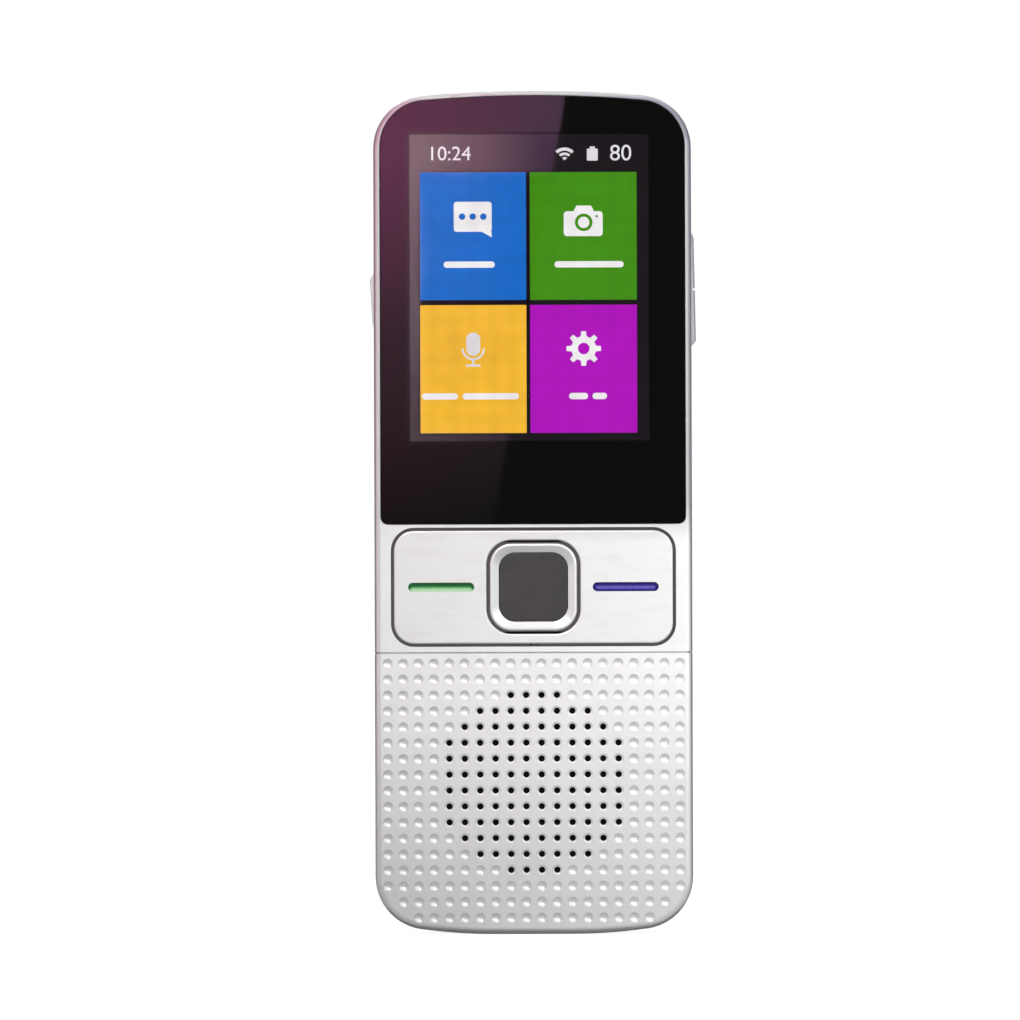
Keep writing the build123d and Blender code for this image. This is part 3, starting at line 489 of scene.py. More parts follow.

# %% [markdown]
# The paint is scaled darker towards the lower left and lighter towards the upper right: painted
# light and shade, as the light falls. In front, beside the glass, that painted shade turns round,
# so the rim there is darker on the right. The flanks take a darker tone, a painted shade where
# they turn away from the front, and the spray can't reach inside, where the plastic stays bare
# and grey.


# %% Satin silver paint
def painted_in_front(tree, surface, place, paint, flank_shade_colour, inner):
    """Paint on the faces, a darker tone of it on the flanks, which turn away from Y by over 45
    degrees, as painted shade, and bare plastic between 5.6 mm in front of the middle and 5.2 mm
    behind it, inside a half width and between two heights in mm. The paint's painted light rises by
    half over the width and by half over the lower heights; in front, from z 62 mm up, it falls over
    the width instead."""
    along = add_node(tree, "ShaderNodeSeparateXYZ", {"Vector": place.outputs["Object"]})
    side = add_node(tree, "ShaderNodeMath", {0: along.outputs["X"]}, operation="ABSOLUTE")
    half, low_z, high_z = inner
    covered = 1.0
    for value, limit, test in (
        (along.outputs["Y"], -5.6, "GREATER_THAN"),
        (along.outputs["Y"], 5.2, "LESS_THAN"),
        (side.outputs[0], half, "LESS_THAN"),
        (along.outputs["Z"], low_z, "GREATER_THAN"),
        (along.outputs["Z"], high_z, "LESS_THAN"),
    ):
        inside = add_node(tree, "ShaderNodeMath", {0: value, 1: limit * mm}, operation=test)
        both = add_node(
            tree, "ShaderNodeMath", {0: covered, 1: inside.outputs[0]}, operation="MULTIPLY"
        )
        covered = both.outputs[0]
    # Painted light and shade: shares that scale the paint lighter to the upper right and, in front
    # beside the glass, lighter to the left.
    right, upper, beside, front = (
        add_node(
            tree,
            "ShaderNodeMapRange",
            {
                "Value": along.outputs[axis],
                "From Min": start * mm,
                "From Max": end * mm,
                "To Max": most,
            },
        ).outputs["Result"]
        for axis, start, end, most in (
            ("X", -25, 25, 0.5),
            ("Z", 2, 40, 0.5),
            ("Z", 62, 68, 1.0),
            ("Y", 4, -4, 1.0),
        )
    )
    shade_flip_zone = add_node(tree, "ShaderNodeMath", {0: beside, 1: front}, operation="MULTIPLY")
    shade_flip = add_node(
        tree, "ShaderNodeMapRange", {"Value": shade_flip_zone.outputs[0], "To Min": 1.0, "To Max": -1.0}
    )
    painted_light = add_node(
        tree,
        "ShaderNodeMath",
        {0: right, 1: shade_flip.outputs["Result"], 2: upper},
        operation="MULTIPLY_ADD",
    )
    painted_light = add_node(
        tree, "ShaderNodeMapRange", {"Value": painted_light.outputs[0], "To Min": 0.59, "To Max": 1.02}
    )
    paint = add_node(
        tree, "ShaderNodeVectorMath", {0: paint, "Scale": painted_light.outputs["Result"]}, operation="SCALE"
    )
    # Painted shade: where a face turns away from Y, its colour goes to the darker flank colour.
    facing = add_node(tree, "ShaderNodeSeparateXYZ", {"Vector": place.outputs["Normal"]})
    facing = add_node(tree, "ShaderNodeMath", {0: facing.outputs["Y"]}, operation="ABSOLUTE")
    flank = add_node(
        tree, "ShaderNodeMapRange", {"Value": facing.outputs[0], "From Min": 0.74, "From Max": 0.6}
    )
    flank_shaded = add_node(
        tree,
        "ShaderNodeMix",
        {0: flank.outputs["Result"], 6: paint.outputs[0], 7: linear(flank_shade_colour)},
        data_type="RGBA",
    )
    bare = add_node(
        tree,
        "ShaderNodeMix",
        {0: covered, 6: flank_shaded.outputs[2], 7: linear("#77767a")},
        data_type="RGBA",
    )
    tree.links.new(bare.outputs[2], surface.inputs["Base Color"])


flake_size = 0.4
silver_paint, tree, surface = new_material(
    "satin_silver_paint_on_abs", Metallic=0.7, Coat_Weight=0.1, Coat_Roughness=0.3
)
place = add_node(tree, "ShaderNodeTexCoord")
_, patches = patchy(tree, place, 9.0, [(0.32, "#f4f6f5"), (0.5, "#f9fbf9"), (0.66, "#f5f9f7")])
# The darker flank grey and the darkening towards the lower left are painted shade.
painted_in_front(tree, surface, place, patches, "#c8c6c9", inner=(22.8, 4.0, 128.0))
flakes, _ = patchy(tree, place, flake_size)
rough_between(tree, surface, flakes, 0.33, 0.45)
raised(tree, surface, flakes, 0.006)
dress(silver_paint, "front_housing", "rear_housing", "speaker_grille")
print("flakes are drawn", flake_size, "mm wide")

# %% [markdown]
# ## The keys
# The keys are painted silver too, over a polished mould, so they are smoother than the housing and
# lighter. Rubbing by thumbs and the flow of the spray leave faint slanting streaks. The middle
# key's cap is bare dark grey plastic, semi-gloss, with the fine grain of a sanded mould.

# %% Key finishes
key_paint, tree, surface = new_material(
    "smooth_silver_paint_on_keys", Metallic=0.65, Coat_Weight=0.2, Coat_Roughness=0.2
)
place = add_node(tree, "ShaderNodeTexCoord")
slanted = add_node(
    tree,
    "ShaderNodeMapping",
    {"Vector": place.outputs["Object"], "Rotation": (0, math.radians(35), 0), "Scale": (1, 1, 4)},
)
streaks = add_node(
    tree,
    "ShaderNodeTexNoise",
    {"Vector": slanted.outputs["Vector"], "Scale": per(6.0), "Detail": 4.0, "Roughness": 0.6},
)
tint = add_node(tree, "ShaderNodeValToRGB", {"Fac": streaks.outputs["Fac"]})
set_ramp(tint, [(0.3, "#f2f4f3"), (0.52, "#f8faf8"), (0.7, "#f4f7f6")])
# The keys get the same painted light and shade: darker towards the lower left, and a darker painted
# shade on their flanks.
painted_in_front(
    tree, surface, place, tint.outputs["Color"], "#b9b6bf", inner=(23.4, 44.8, 65.2)
)
rough_between(tree, surface, streaks.outputs["Fac"], 0.32, 0.38)
flakes, _ = patchy(tree, place, flake_size)
raised(tree, surface, flakes, 0.003)
dress(key_paint, "language_rocker", "centre_key_ring", "volume_rocker", "power_key")

cap_plastic, tree, surface = new_material(
    "sanded_dark_grey_abs", Specular_IOR_Level=0.5, Coat_Weight=0.15, Coat_Roughness=0.3
)
place = add_node(tree, "ShaderNodeTexCoord")
_, tint = patchy(tree, place, 4.0, [(0.35, "#2b2727"), (0.65, "#363132")])
tree.links.new(tint, surface.inputs["Base Color"])
grain, _ = patchy(tree, place, 0.3)
rough_between(tree, surface, grain, 0.38, 0.5)
raised(tree, surface, grain, 0.004)
dress(cap_plastic, "centre_key_cap")
print("keys and cap are finished")

# %% [markdown]
# ## The light bars
# Each language has a bar of clear-tinted acrylic, green on the left and blue on the right, lit
# weakly by a lamp on the board below. The bar lies deep in its slot. Its colour is a ramp over the
# distance from a line below the middle: pale near the line, a painted light, and deep along the
# upper edge and the ends, a painted shadow of the slot. A fine noise breaks it, and the colours
# also glow, so the painted light and shadow are given out as light.

# %% Acrylic light bars
# In mm: half the length of the line of painted light, how far the noise moves the colours, and the
# distances from the line between which they run from painted light to painted shadow.
painted_light_half = 4.4
wander = 0.2
ramp_start, ramp_end = 0.1, 1.1
# Each bar: its node, how far in mm its line of painted light lies below its middle, and the ramp
# from that painted light to the painted shadow of the slot.
for node, light_line_drop, stops in (
    (
        "green_light_bar",
        0.62,
        [(0.0, "#bddfb4"), (0.36, "#a4cf9e"), (0.66, "#2f8443"), (0.95, "#0e5226")],
    ),
    (
        "blue_light_bar",
        0.1,
        [(0.0, "#7066bc"), (0.16, "#5a50aa"), (0.36, "#28247f"), (0.7, "#131055")],
    ),
):
    material, tree, surface = new_material(
        f"tinted_acrylic_painted_light_{node}", Specular_IOR_Level=0.2, Emission_Strength=0.8
    )
    low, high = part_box(node)
    middle = (low + high) / 2
    place = add_node(tree, "ShaderNodeTexCoord")
    centred = add_node(
        tree,
        "ShaderNodeMapping",
        {"Vector": place.outputs["Object"], "Location": (-middle.x, 0, -middle.z + light_line_drop * mm)},
    )
    along = add_node(tree, "ShaderNodeSeparateXYZ", {"Vector": centred.outputs["Vector"]})
    reach = add_node(tree, "ShaderNodeMath", {0: along.outputs["X"]}, operation="ABSOLUTE")
    for operation, amount in (("SUBTRACT", painted_light_half * mm), ("MAXIMUM", 0.0)):
        reach = add_node(
            tree, "ShaderNodeMath", {0: reach.outputs[0], 1: amount}, operation=operation
        )
    offset = add_node(
        tree, "ShaderNodeCombineXYZ", {"X": reach.outputs[0], "Z": along.outputs["Z"]}
    )
    distance = add_node(
        tree, "ShaderNodeVectorMath", {0: offset.outputs["Vector"]}, operation="LENGTH"
    )
    haze, _ = patchy(tree, place, 0.8)
    moved = add_node(
        tree,
        "ShaderNodeMath",
        {0: haze, 1: wander * mm, 2: distance.outputs["Value"]},
        operation="MULTIPLY_ADD",
    )
    share = add_node(
        tree,
        "ShaderNodeMapRange",
        {"Value": moved.outputs[0], "From Min": ramp_start * mm, "From Max": ramp_end * mm},
    )
    tint = add_node(tree, "ShaderNodeValToRGB", {"Fac": share.outputs["Result"]})
    set_ramp(tint, stops)
    deep = add_node(
        tree, "ShaderNodeVectorMath", {0: tint.outputs["Color"], "Scale": 0.3}, operation="SCALE"
    )
    tree.links.new(deep.outputs[0], surface.inputs["Base Color"])
    # The ramp also glows, so its painted light and shadow are given out as light.
    tree.links.new(tint.outputs["Color"], surface.inputs["Emission Color"])
    rough_between(tree, surface, haze, 0.25, 0.35)
    dress(material, node)
bar_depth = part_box("green_light_bar")[0].y - cad_low.y
print("light bars lie", round(bar_depth / mm, 2), "mm below the ring")

# %% [markdown]
# ## The cover glass and what is behind it
# The cover is a sheet of aluminosilicate glass, cut, edge-ground and polished. Fingers leave a
# film that roughens it by a hair in patches. Behind it, black ink is printed in several thin
# layers, which dries to a fine orange peel, and a clear touch sensor lies over the display. The
# ink and the sensor's film are a noise between two close colours, as many finishes are, so one
# function makes that kind.


# %% Glass, ink and sensor
def grained(name, dark, light, size, rough, bump=0.0, **constants):
    """A material between two colours, over a noise with grains of a size in mm. Its roughness
    spreads over a range, and its bump has a height in mm."""
    material, tree, surface = new_material(name, **constants)
    place = add_node(tree, "ShaderNodeTexCoord")
    grain, tint = patchy(tree, place, size, [(0.3, dark), (0.7, light)])
    tree.links.new(tint, surface.inputs["Base Color"])
    rough_between(tree, surface, grain, *rough)
    if bump:
        raised(tree, surface, grain, bump)
    return material


glass, tree, surface = new_material(
    "polished_cover_glass", Base_Color=linear("#fbfcfc"), Transmission_Weight=1.0, IOR=1.51
)
film, _ = patchy(tree, add_node(tree, "ShaderNodeTexCoord"), 14.0)
rough_between(tree, surface, film, 0.004, 0.02)
dress(glass, "screen_glass")

ink = grained(
    "screen_printed_black_ink", "#0a0a0a", "#101011", 0.8, (0.45, 0.6), Specular_IOR_Level=0.2
)
dress(ink, "screen_mask")

sensor = grained(
    "coated_touch_film",
    "#f2f0ef",
    "#fafafa",
    5.0,
    (0.015, 0.03),
    Transmission_Weight=1.0,
    IOR=1.2,
)
dress(sensor, "touch_sensor")
glass_low, glass_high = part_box("screen_glass")
print("glass is", round((glass_high.y - glass_low.y) / mm, 2), "mm thick")

# %% [markdown]
# ## The lit picture
# The display is a liquid crystal cell: a grid of coloured dots lit from behind, so its picture is
# light, not paint. Its menu is four coloured tiles with white symbols, a line with the time and
# the battery's charge above them, and plain bars where captions would be. Each is a flat sheet a
# few hundredths of a millimetre in front of the cell, whose material gives out its own light. The
# real dots, about 0.15 mm wide, are too fine to show. What does show, by a hair, is that the light
# from behind is uneven, so two faint waves, 3.14 mm long, cross each colour.


# %% Lit colours
def per_wave(length):
    """A Wave texture's scale for waves of a length in mm: it turns 20 radians to a unit."""
    return per(length) * 2 * math.pi / 20


def lit_colour(name, colour, second, strength):
    """Light in two close tones of one colour, crossed by faint waves along X and Z."""
    material, tree, surface = new_material(
        name,
        Base_Color=linear("#020202"),
        Roughness=0.6,
        Specular_IOR_Level=0.0,
        Emission_Strength=strength,
    )
    place = add_node(tree, "ShaderNodeTexCoord")
    _, shade = patchy(tree, place, 12.0, [(0.3, colour), (0.7, second)])
    for direction in ("X", "Z"):
        wave = add_node(
            tree,
            "ShaderNodeTexWave",
            {"Vector": place.outputs["Object"], "Scale": per_wave(3.14), "Distortion": 0.0},
            bands_direction=direction,
        )
        level = add_node(
            tree,
            "ShaderNodeMapRange",
            {"Value": wave.outputs["Fac"], "To Min": 0.97, "To Max": 1.01},
        )
        waved = add_node(
            tree,
            "ShaderNodeVectorMath",
            {0: shade, "Scale": level.outputs["Result"]},
            operation="SCALE",
        )
        shade = waved.outputs[0]
    tree.links.new(shade, surface.inputs["Emission Color"])
    return material


lit_black = lit_colour("lit_cell_black", "#10030f", "#0d020d", 1.0)
lit_white = lit_colour("lit_cell_white", "#f6f2f4", "#efeef0", 1.2)
lit_grey = lit_colour("lit_cell_grey", "#efebf0", "#e8e4ea", 1.1)
lit_tiles = {
    "blue": lit_colour("lit_cell_blue", "#0d74dc", "#1473d6", 1.0),
    "green": lit_colour("lit_cell_green", "#449a04", "#489b06", 1.0),
    "yellow": lit_colour("lit_cell_yellow", "#fbbf30", "#f8bb38", 1.15),
    "magenta": lit_colour("lit_cell_magenta", "#c100d0", "#ba00c8", 1.0),
}
print("lit colours:", 3 + len(lit_tiles))

# %% [markdown]
# ## Flat shapes with holes
# Symbols are outlines with holes, which a 2D curve fills by itself. So each symbol is worked out
# as closed loops of points, a curve fills them, and the result is kept as a mesh that is stood up
# to face -Y. Digits come the same way from a text object.


# %% Flat shape helpers
def stand_up(mesh, depth, shift=(0.0, 0.0), scale=1.0):
    """Turns a flat mesh's (x, y) into (x, z) at one depth, with its faces towards -Y."""
    count = len(mesh.vertices)
    flat = np.empty(count * 3, np.float32)
    mesh.vertices.foreach_get("co", flat)
    flat = flat.reshape(-1, 3) * scale
    placed = np.stack([flat[:, 0] + shift[0], np.full(count, depth), flat[:, 1] + shift[1]], -1)
    mesh.vertices.foreach_set("co", (placed * mm).astype(np.float32).ravel())
    mesh.update()
    normals = np.empty(len(mesh.polygons) * 3, np.float32)
    mesh.polygons.foreach_get("normal", normals)
    if normals.reshape(-1, 3)[:, 1].sum() > 0:
        mesh.flip_normals()
    return mesh


def curve_mesh(name, curve):
    """The flat mesh that a filled curve or a text makes."""
    holder = bpy.data.objects.new(name, curve)
    mesh = bpy.data.meshes.new_from_object(holder)
    bpy.data.objects.remove(holder)
    mesh.name = name
    mesh.materials.clear()
    return mesh


def filled(name, loops, depth):
    """A flat mesh inside closed loops of (x, z) points in mm; a loop inside another is a hole."""
    curve = bpy.data.curves.new(name, "CURVE")
    curve.dimensions = "2D"
    curve.fill_mode = "BOTH"
    for loop in loops:
        spline = curve.splines.new("POLY")
        spline.points.add(len(loop) - 1)
        points = np.zeros((len(loop), 4), np.float32)
        points[:, :2] = loop
        points[:, 3] = 1
        spline.points.foreach_set("co", points.ravel())
        spline.use_cyclic_u = True
    return stand_up(curve_mesh(name, curve), depth)


def joined(name, meshes):
    """One mesh from several."""
    work = bmesh.new()
    for mesh in meshes:
        work.from_mesh(mesh)
        bpy.data.meshes.remove(mesh)
    whole = bpy.data.meshes.new(name)
    work.to_mesh(whole)
    work.free()
    return whole


def digits(name, text, low_left, height, depth):
    """Digits as a mesh, scaled to a height and set from their lower left corner."""
    curve = bpy.data.curves.new(name, "FONT")
    curve.body = text
    mesh = curve_mesh(name, curve)
    flat = np.empty(len(mesh.vertices) * 3, np.float32)
    mesh.vertices.foreach_get("co", flat)
    low, high = flat.reshape(-1, 3).min(0), flat.reshape(-1, 3).max(0)
    size = height / float(high[1] - low[1])
    shift = (low_left[0] - size * float(low[0]), low_left[1] - size * float(low[1]))
    return stand_up(mesh, depth, shift, size)


# %% [markdown]
# The outlines are made of arcs and straight lines: a full circle, a box with rounded corners, and
# a piece of a ring.


# %% Outlines
def arc(centre, radius, start=0.0, end=360.0, steps=48):
    """Points round a circle from one angle to another, in degrees."""
    turn = np.radians(np.linspace(start, end, steps, endpoint=abs(end - start) < 360))
    return np.array(centre) + radius * np.stack([np.cos(turn), np.sin(turn)], -1)


def rounded_box(x, z, radius):
    """Four quarter circles joined into a rounded rectangle."""
    corners = (
        ((x[1] - radius, z[1] - radius), 0),
        ((x[0] + radius, z[1] - radius), 90),
        ((x[0] + radius, z[0] + radius), 180),
        ((x[1] - radius, z[0] + radius), 270),
    )
    return np.vstack([arc(centre, radius, turn, turn + 90, 9) for centre, turn in corners])


def sector(centre, inner, outer, start, end, steps=24):
    """A piece of a ring between two radii and two angles."""
    return np.vstack([arc(centre, outer, start, end, steps), arc(centre, inner, end, start, steps)])


print("points round a box:", len(rounded_box((0, 1), (0, 1), 0.1)))

# %% [markdown]
# ## Ground, tiles and status line
# Depths count forward from the cell: first the black ground, which fills the whole window, then
# the tiles, then what lies on them, a hundredth of a millimetre apart.

# %% Ground and tiles
layer = 0.012
cell_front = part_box("lcd_panel")[0].y / mm
ground_depth, tile_depth, symbol_depth = (cell_front - layer * k for k in (1, 2, 3))


def lit_piece(name, mesh, material):
    """A picture piece that rides on the housing with the display."""
    add_piece(name, mesh, material, "housing")


def lit_sign(name, shapes, material):
    """A sign of several flat shapes, each given by its loops, that lies on the picture."""
    parts = [filled(name, loops, symbol_depth) for loops in shapes]
    lit_piece(name, joined(name, parts), material)


ground_loop = rounded_box(window_x, window_z, 0.2)
lit_piece("display_ground", filled("display_ground", [ground_loop], ground_depth), lit_black)

tile_columns = ((-17.78, -0.98), (-0.38, 16.52))
tile_rows = ((100.38, 120.6), (79.33, 99.6))
tile_places = (("blue", 0, 0), ("green", 1, 0), ("yellow", 0, 1), ("magenta", 1, 1))
for colour, column, row in tile_places:
    loop = rounded_box(tile_columns[column], tile_rows[row], 0.12)
    name = f"menu_tile_{colour}"
    lit_piece(name, filled(name, [loop], tile_depth), lit_tiles[colour])
print("tiles:", len(tile_places), "depth of ground:", round(ground_depth, 3))

# %% Status line
status_z = 122.5
clock = digits("clock_digits", "10:24", (-15.95, status_z), 2.2, symbol_depth)
charge = digits("charge_digits", "80", (12.35, status_z - 0.1), 2.5, symbol_depth)
lit_piece("clock_digits", clock, lit_grey)
lit_piece("charge_digits", charge, lit_grey)

fan_point = (5.15, status_z - 0.05)
lit_sign(
    "signal_fan",
    (
        [sector(fan_point, 1.55, 2.05, 45, 135)],
        [sector(fan_point, 0.85, 1.25, 45, 135)],
        [np.vstack([arc(fan_point, 0.55, 45, 135, 12), [fan_point]])],
    ),
    lit_grey,
)
lit_sign(
    "battery_symbol",
    (
        [rounded_box((8.68, 10.4), (status_z - 0.1, status_z + 1.8), 0.15)],
        [rounded_box((9.14, 9.94), (status_z + 1.8, status_z + 2.15), 0.05)],
    ),
    lit_grey,
)
print("status line is at z", status_z, "mm")

# %% [markdown]
# ## Symbols on the tiles
# A speech bubble, a camera, a microphone and a gear wheel are everyday signs. The bubble holds
# three plain dots. The gear is one loop whose radius steps between a root and a tip eight times
# round, which makes eight teeth with sloping sides.


# %% Symbols
def gear_loop(centre, root, tip, teeth):
    """Four points to a tooth: up its flank, along its tip and down again, then along the root."""
    step = 2 * np.pi / teeth
    offsets = np.array([-0.30, -0.17, 0.17, 0.30]) * step
    radii = np.array([root, tip, tip, root])
    turn = (np.arange(teeth)[:, None] * step + offsets + np.pi / 2).ravel()
    reach = np.tile(radii, teeth)
    return np.array(centre) + reach[:, None] * np.stack([np.cos(turn), np.sin(turn)], -1)


bubble = rounded_box((-12.42, -6.42), (111.2, 115.95), 0.45)
dots = [arc((x, 113.6), 0.52, steps=20) for x in (-11.1, -9.42, -7.74)]
tail = np.array([(-8.1, 111.25), (-6.45, 111.25), (-6.42, 110.32)])
lit_sign("speech_symbol", ([bubble, *dots], [tail]), lit_white)

lens_at = (8.14, 112.63)
camera_body = rounded_box((4.98, 11.15), (110.45, 114.4), 0.55)
camera_holes = [arc(lens_at, 1.39), arc((10.2, 113.6), 0.2, steps=12)]
camera_hump = np.array([(6.5, 114.35), (7.0, 115.3), (9.3, 115.3), (9.8, 114.35)])
lit_sign(
    "camera_symbol", ([camera_body, *camera_holes], [camera_hump], [arc(lens_at, 0.9)]), lit_white
)

capsule_x = -9.4
lit_sign(
    "microphone_symbol",
    (
        [rounded_box((capsule_x - 1.1, capsule_x + 1.1), (91.55, 95.25), 1.08)],
        [sector((capsule_x, 92.7), 1.5, 1.85, 180, 360)],
        [rounded_box((capsule_x - 0.2, capsule_x + 0.2), (90.1, 91.0), 0.05)],
        [rounded_box((capsule_x - 1.15, capsule_x + 1.15), (89.85, 90.2), 0.1)],
    ),
    lit_grey,
)

gear_at = (8.08, 92.67)
lit_sign("gear_symbol", ([gear_loop(gear_at, 1.98, 2.75, 8), arc(gear_at, 0.92)],), lit_white)

# Captions are plain rounded bars, as long as a word or two.
bar_half, bar_radius = 0.5, 0.49
bar_runs = (
    (-14.05, -5.95, 106.0),
    (3.5, 14.45, 106.0),
    (-17.55, -11.85, 85.15),
    (-11.1, -2.2, 85.15),
    (5.75, 8.75, 85.15),
    (9.45, 11.75, 85.15),
)
bars = [
    [rounded_box((low, high), (z - bar_half, z + bar_half), bar_radius)]
    for low, high, z in bar_runs
]
lit_sign("caption_bars", bars, lit_white)
print("symbols are", round(symbol_depth, 3), "mm deep; cell at", round(cell_front, 3))

# %% [markdown]
# ## The cloth behind the grille
# A fine black cloth keeps dust out of the loudspeaker. It is plain-woven polyester with threads
# of about 0.1 mm, which are too fine to show. They are drawn 1.5 mm apart, so that neighbouring
# holes, 1 mm wide, differ a little. Two waves at right angles make the threads, and their product
# makes the raised crossings.

# %% Woven cloth
cloth, tree, surface = new_material(
    "woven_polyester_mesh", Roughness=0.85, Specular_IOR_Level=0.2, Sheen_Weight=0.05
)
place = add_node(tree, "ShaderNodeTexCoord")
threads = []
for direction in ("X", "Z"):
    wave = add_node(
        tree,
        "ShaderNodeTexWave",
        {"Vector": place.outputs["Object"], "Scale": per_wave(1.508), "Distortion": 0.3},
        bands_direction=direction,
    )
    threads.append(wave.outputs["Fac"])
crossing = add_node(tree, "ShaderNodeMath", {0: threads[0], 1: threads[1]}, operation="MULTIPLY")
tint = add_node(tree, "ShaderNodeValToRGB", {"Fac": crossing.outputs[0]})
set_ramp(tint, [(0.0, "#060606"), (1.0, "#151515")])
tree.links.new(tint.outputs["Color"], surface.inputs["Base Color"])
raised(tree, surface, crossing.outputs[0], 0.03)
dress(cloth, "speaker_mesh")
print("thread directions:", len(threads))

# %% [markdown]
# ## Contacts in the charging socket
# The socket's tongue carries twelve thin gold-plated strips on each face, half a millimetre apart.
# Each is a bar made of four rings: a point, a rectangle, the same rectangle further up, a point.
# Gold over rolled copper is smooth, with faint marks along the strip.

# %% Socket contacts
contact_count, contact_pitch = 12, 0.5
half_width, half_thickness = 0.13, 0.01
contact_low, contact_high = 1.55, 4.6


def contact(x, y):
    """A bar along Z at (x, y): ring r at height z[r] is the rectangle times size[r]."""
    corners = np.array([(-1, -1), (1, -1), (1, 1), (-1, 1)]) * (half_width, half_thickness)
    size = np.array([0.0, 1.0, 1.0, 0.0])
    z = np.array([contact_low, contact_low, contact_high, contact_high])
    rings = np.empty((4, 4, 3))
    rings[..., :2] = np.array([x, y]) + corners * size[:, None, None]
    rings[..., 2] = z[:, None]
    return grid_mesh("contact", rings * mm, closed=True, smooth=False)


tongue_low, tongue_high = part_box("usb_tongue")
faces_y = (tongue_low.y / mm - half_thickness, tongue_high.y / mm + half_thickness)
contact_x = contact_pitch * (np.arange(contact_count) - (contact_count - 1) / 2)
contacts = [contact(x, y) for y in faces_y for x in contact_x]
gold = grained("gold_plated_contacts", "#c89a3c", "#e2bc62", 0.4, (0.16, 0.28), Metallic=1.0)
add_piece("socket_contacts", joined("socket_contacts", contacts), gold, "housing")
print("contacts:", len(contacts))

# %% [markdown]
# ## The back: camera, flash and screws
# The camera's window is smoked glass in a turned metal ring, and the lens behind it is coated
# glass that looks deep blue. The flash shines through a milky acrylic guide with rings. Turning
# leaves circles round the axis, so these use a ring wave whose centre a Mapping node moves to the
# part's own axis. The real marks of the tool are finer than the waves, which are as long as they
# have to be to show: 0.75 mm on the ring and 1.9 mm on the guide. The lens is smaller than its
# one wave of 8.8 mm, which shades it from its middle to its edge.


# %% Turned and moulded parts of the back
def ring_lines(tree, node, spacing):
    """A wave of circles about the Y axis through a node's middle, spaced in mm."""
    low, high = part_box(node)
    middle = (low + high) / 2
    place = add_node(tree, "ShaderNodeTexCoord")
    centred = add_node(
        tree,
        "ShaderNodeMapping",
        {"Vector": place.outputs["Object"], "Location": (-middle.x, -middle.y, -middle.z)},
    )
    wave = add_node(
        tree,
        "ShaderNodeTexWave",
        {"Vector": centred.outputs["Vector"], "Scale": per_wave(spacing), "Distortion": 0.4},
        wave_type="RINGS",
        rings_direction="Y",
    )
    return wave.outputs["Fac"]


# name, part, ring spacing in mm, dark and light colour, roughness range, bump in mm, constants
ringed_finishes = (
    ("turned_bright_aluminium", "camera_trim", 0.754, "#b9babd", "#cfd0d3", (0.18, 0.3), 0.004,
     {"Metallic": 1.0}),
    ("coated_lens_glass", "camera_lens", 8.8, "#0a0d1c", "#1c2450", (0.02, 0.05), 0.0,
     {"IOR": 1.6, "Coat_Weight": 1.0, "Coat_Tint": linear("#b9a8ff")}),
    ("milky_acrylic_guide", "flash_guide", 1.885, "#e6e2cf", "#f3f1e6", (0.2, 0.35), 0.03,
     {"IOR": 1.49, "Subsurface_Weight": 0.3, "Subsurface_Scale": 0.8 * mm}),
)
for name, node, spacing, dark, light, rough, bump, constants in ringed_finishes:
    material, tree, surface = new_material(name, **constants)
    rings = ring_lines(tree, node, spacing)
    tint = add_node(tree, "ShaderNodeValToRGB", {"Fac": rings})
    set_ramp(tint, [(0.0, dark), (1.0, light)])
    tree.links.new(tint.outputs["Color"], surface.inputs["Base Color"])
    rough_between(tree, surface, rings, *rough)
    if bump:
        raised(tree, surface, rings, bump)
    dress(material, node)

window_glass = grained(
    "smoked_window_glass", "#2a2c33", "#33353d", 4.0, (0.01, 0.04), Transmission_Weight=0.6, IOR=1.5
)
dress(window_glass, "camera_window")
print("ringed finishes:", len(ringed_finishes))

# %% [markdown]
# ## Finishes inside
# The rest, apart from the screws in the back, is seen through the gaps and by anyone who takes the
# device apart. Each finish is named for its material and process, and is a noise of its grain
# size between two close colours, with a matching spread of roughness and a low bump: plated steel
# has faint rolling marks, solder mask ripples over the copper, foil is slightly crumpled, and
# moulded epoxy has a sandy skin.

# %% Inside finishes
metal = {"Metallic": 1.0}
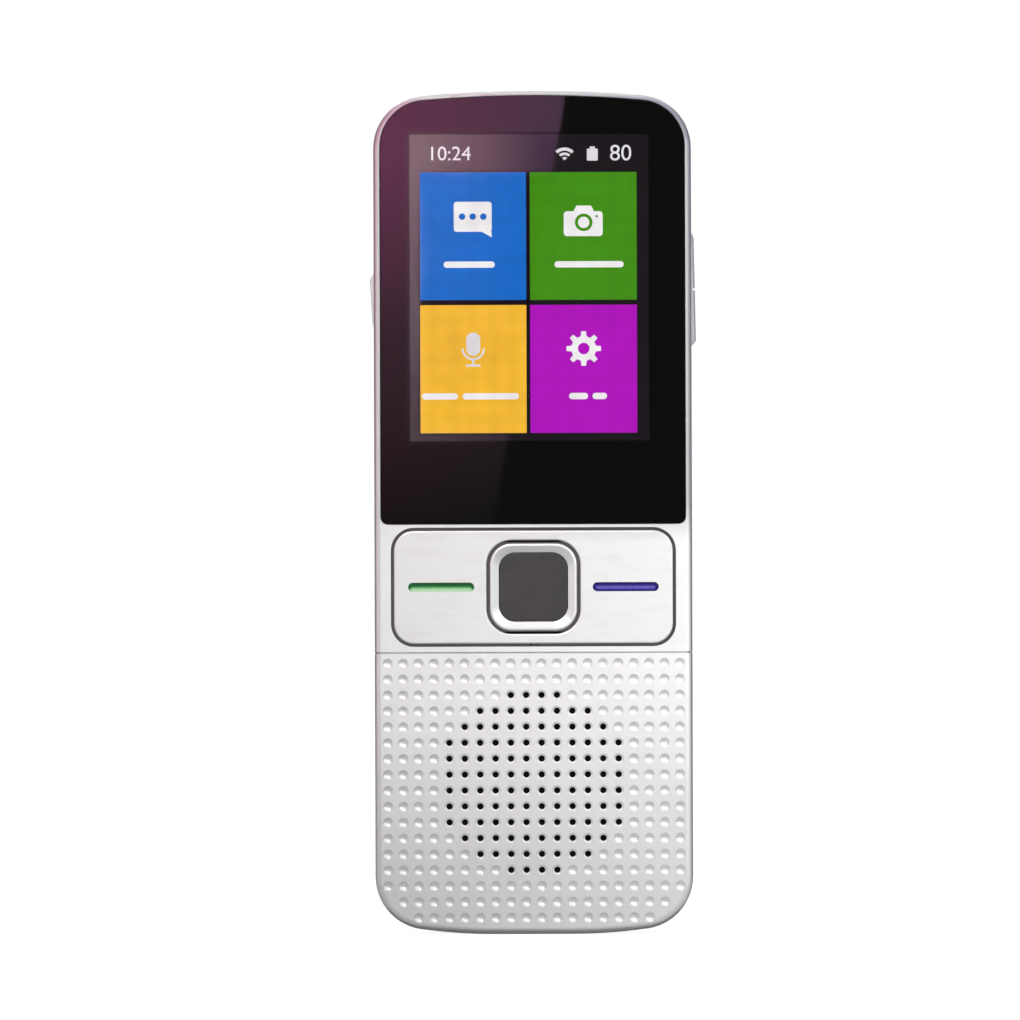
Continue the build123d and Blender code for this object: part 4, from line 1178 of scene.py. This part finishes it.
# name, dark and light colour, grain in mm, roughness range, bump in mm, constants, parts
inside_finishes = (
    ("black_pet_liner_film", "#0d0d0e", "#141415", 1.5, (0.5, 0.65), 0.004, {}, "keypad_liner"),
    ("moulded_black_nylon", "#101011", "#1a1a1b", 0.5, (0.45, 0.6), 0.006,
     {}, "front_switches side_switches left_stem centre_stem right_stem volume_up_stem"
     " volume_down_stem power_stem usb_tongue camera_module"),
    ("black_acrylic_foam_tape", "#0b0b0b", "#131313", 0.3, (0.7, 0.9), 0.01,
     {}, "glass_adhesive grille_adhesive"),
    ("polarised_display_cell", "#0b0c10", "#12141a", 8.0, (0.25, 0.35), 0.0,
     {"Coat_Weight": 0.3}, "lcd_panel"),
    ("moulded_white_polycarbonate", "#dcdcd6", "#e8e8e4", 1.0, (0.35, 0.5), 0.004,
     {}, "lcd_backlight"),
    ("stamped_steel_sheet", "#8f9092", "#a6a7a9", 0.8, (0.28, 0.42), 0.004, metal, "lcd_bracket"),
    ("closed_cell_foam", "#0c0c0c", "#181818", 0.35, (0.85, 1.0), 0.05, {}, "foam_pad"),
    ("amber_polyimide_film", "#8a4a12", "#a8621e", 1.2, (0.3, 0.45), 0.01,
     {"Coat_Weight": 0.2}, "lcd_flex board_ribbon"),
    ("heatproof_cream_nylon", "#cfc6ad", "#dcd4bf", 0.6, (0.45, 0.6), 0.005,
     {}, "lcd_connector battery_connector"),
    ("solder_mask_on_glass_fibre", "#0c3a22", "#14502f", 1.1, (0.28, 0.45), 0.012,
     {"Coat_Weight": 0.3}, "main_board bottom_board battery_circuit"),
    ("moulded_chip_epoxy", "#131416", "#1d1e21", 0.25, (0.55, 0.7), 0.006,
     {}, "processor_chip memory_chips"),
    ("tin_plated_steel", "#b4b4af", "#c9c9c5", 1.6, (0.25, 0.4), 0.006, metal, "shield_can"),
    ("clear_lamp_resin", "#efe9cf", "#f8f5e6", 0.4, (0.08, 0.2), 0.004,
     {"Transmission_Weight": 0.5, "IOR": 1.5}, "indicator_leds flash_led"),
    ("laminated_foil_pouch", "#a9abae", "#c2c4c6", 5.0, (0.3, 0.45), 0.12,
     {"Metallic": 0.9}, "battery_pack"),
    ("white_tissue_tape", "#dddcd6", "#ecebe6", 0.5, (0.8, 0.95), 0.02, {}, "battery_tape"),
    ("extruded_red_pvc", "#7c100d", "#981a14", 1.0, (0.4, 0.5), 0.006,
     {}, "battery_leads speaker_leads"),
    ("pressed_dark_film", "#141414", "#202020", 0.7, (0.5, 0.65), 0.02, {}, "speaker_cone"),
    ("zinc_plated_steel", "#8d8f92", "#a3a6a8", 1.4, (0.3, 0.45), 0.008,
     metal, "speaker_frame speaker_magnet"),
    ("moulded_black_silicone", "#0d0d0d", "#161616", 0.5, (0.7, 0.85), 0.01,
     {}, "speaker_gasket microphone_boots"),
    ("drawn_stainless_steel", "#a9a9aa", "#bdbdbe", 0.9, (0.22, 0.34), 0.004, metal, "usb_shell"),
    ("drawn_aluminium_can", "#b3b4b6", "#c8c9cb", 0.7, (0.3, 0.42), 0.005, metal, "microphones"),
    ("etched_copper_on_film", "#8f5630", "#a96c40", 1.0, (0.3, 0.45), 0.008,
     {"Metallic": 0.9}, "antenna_film"),
    ("nickel_plated_steel", "#8b8a86", "#a19f9a", 0.5, (0.25, 0.4), 0.006, metal, "housing_screws"),
)
finished = 0
for name, dark, light, size, rough, bump, constants, parts in inside_finishes:
    names = parts.split()
    dress(grained(name, dark, light, size, rough, bump, **constants), *names)
    finished += len(names)
print("parts with an inside finish:", finished)
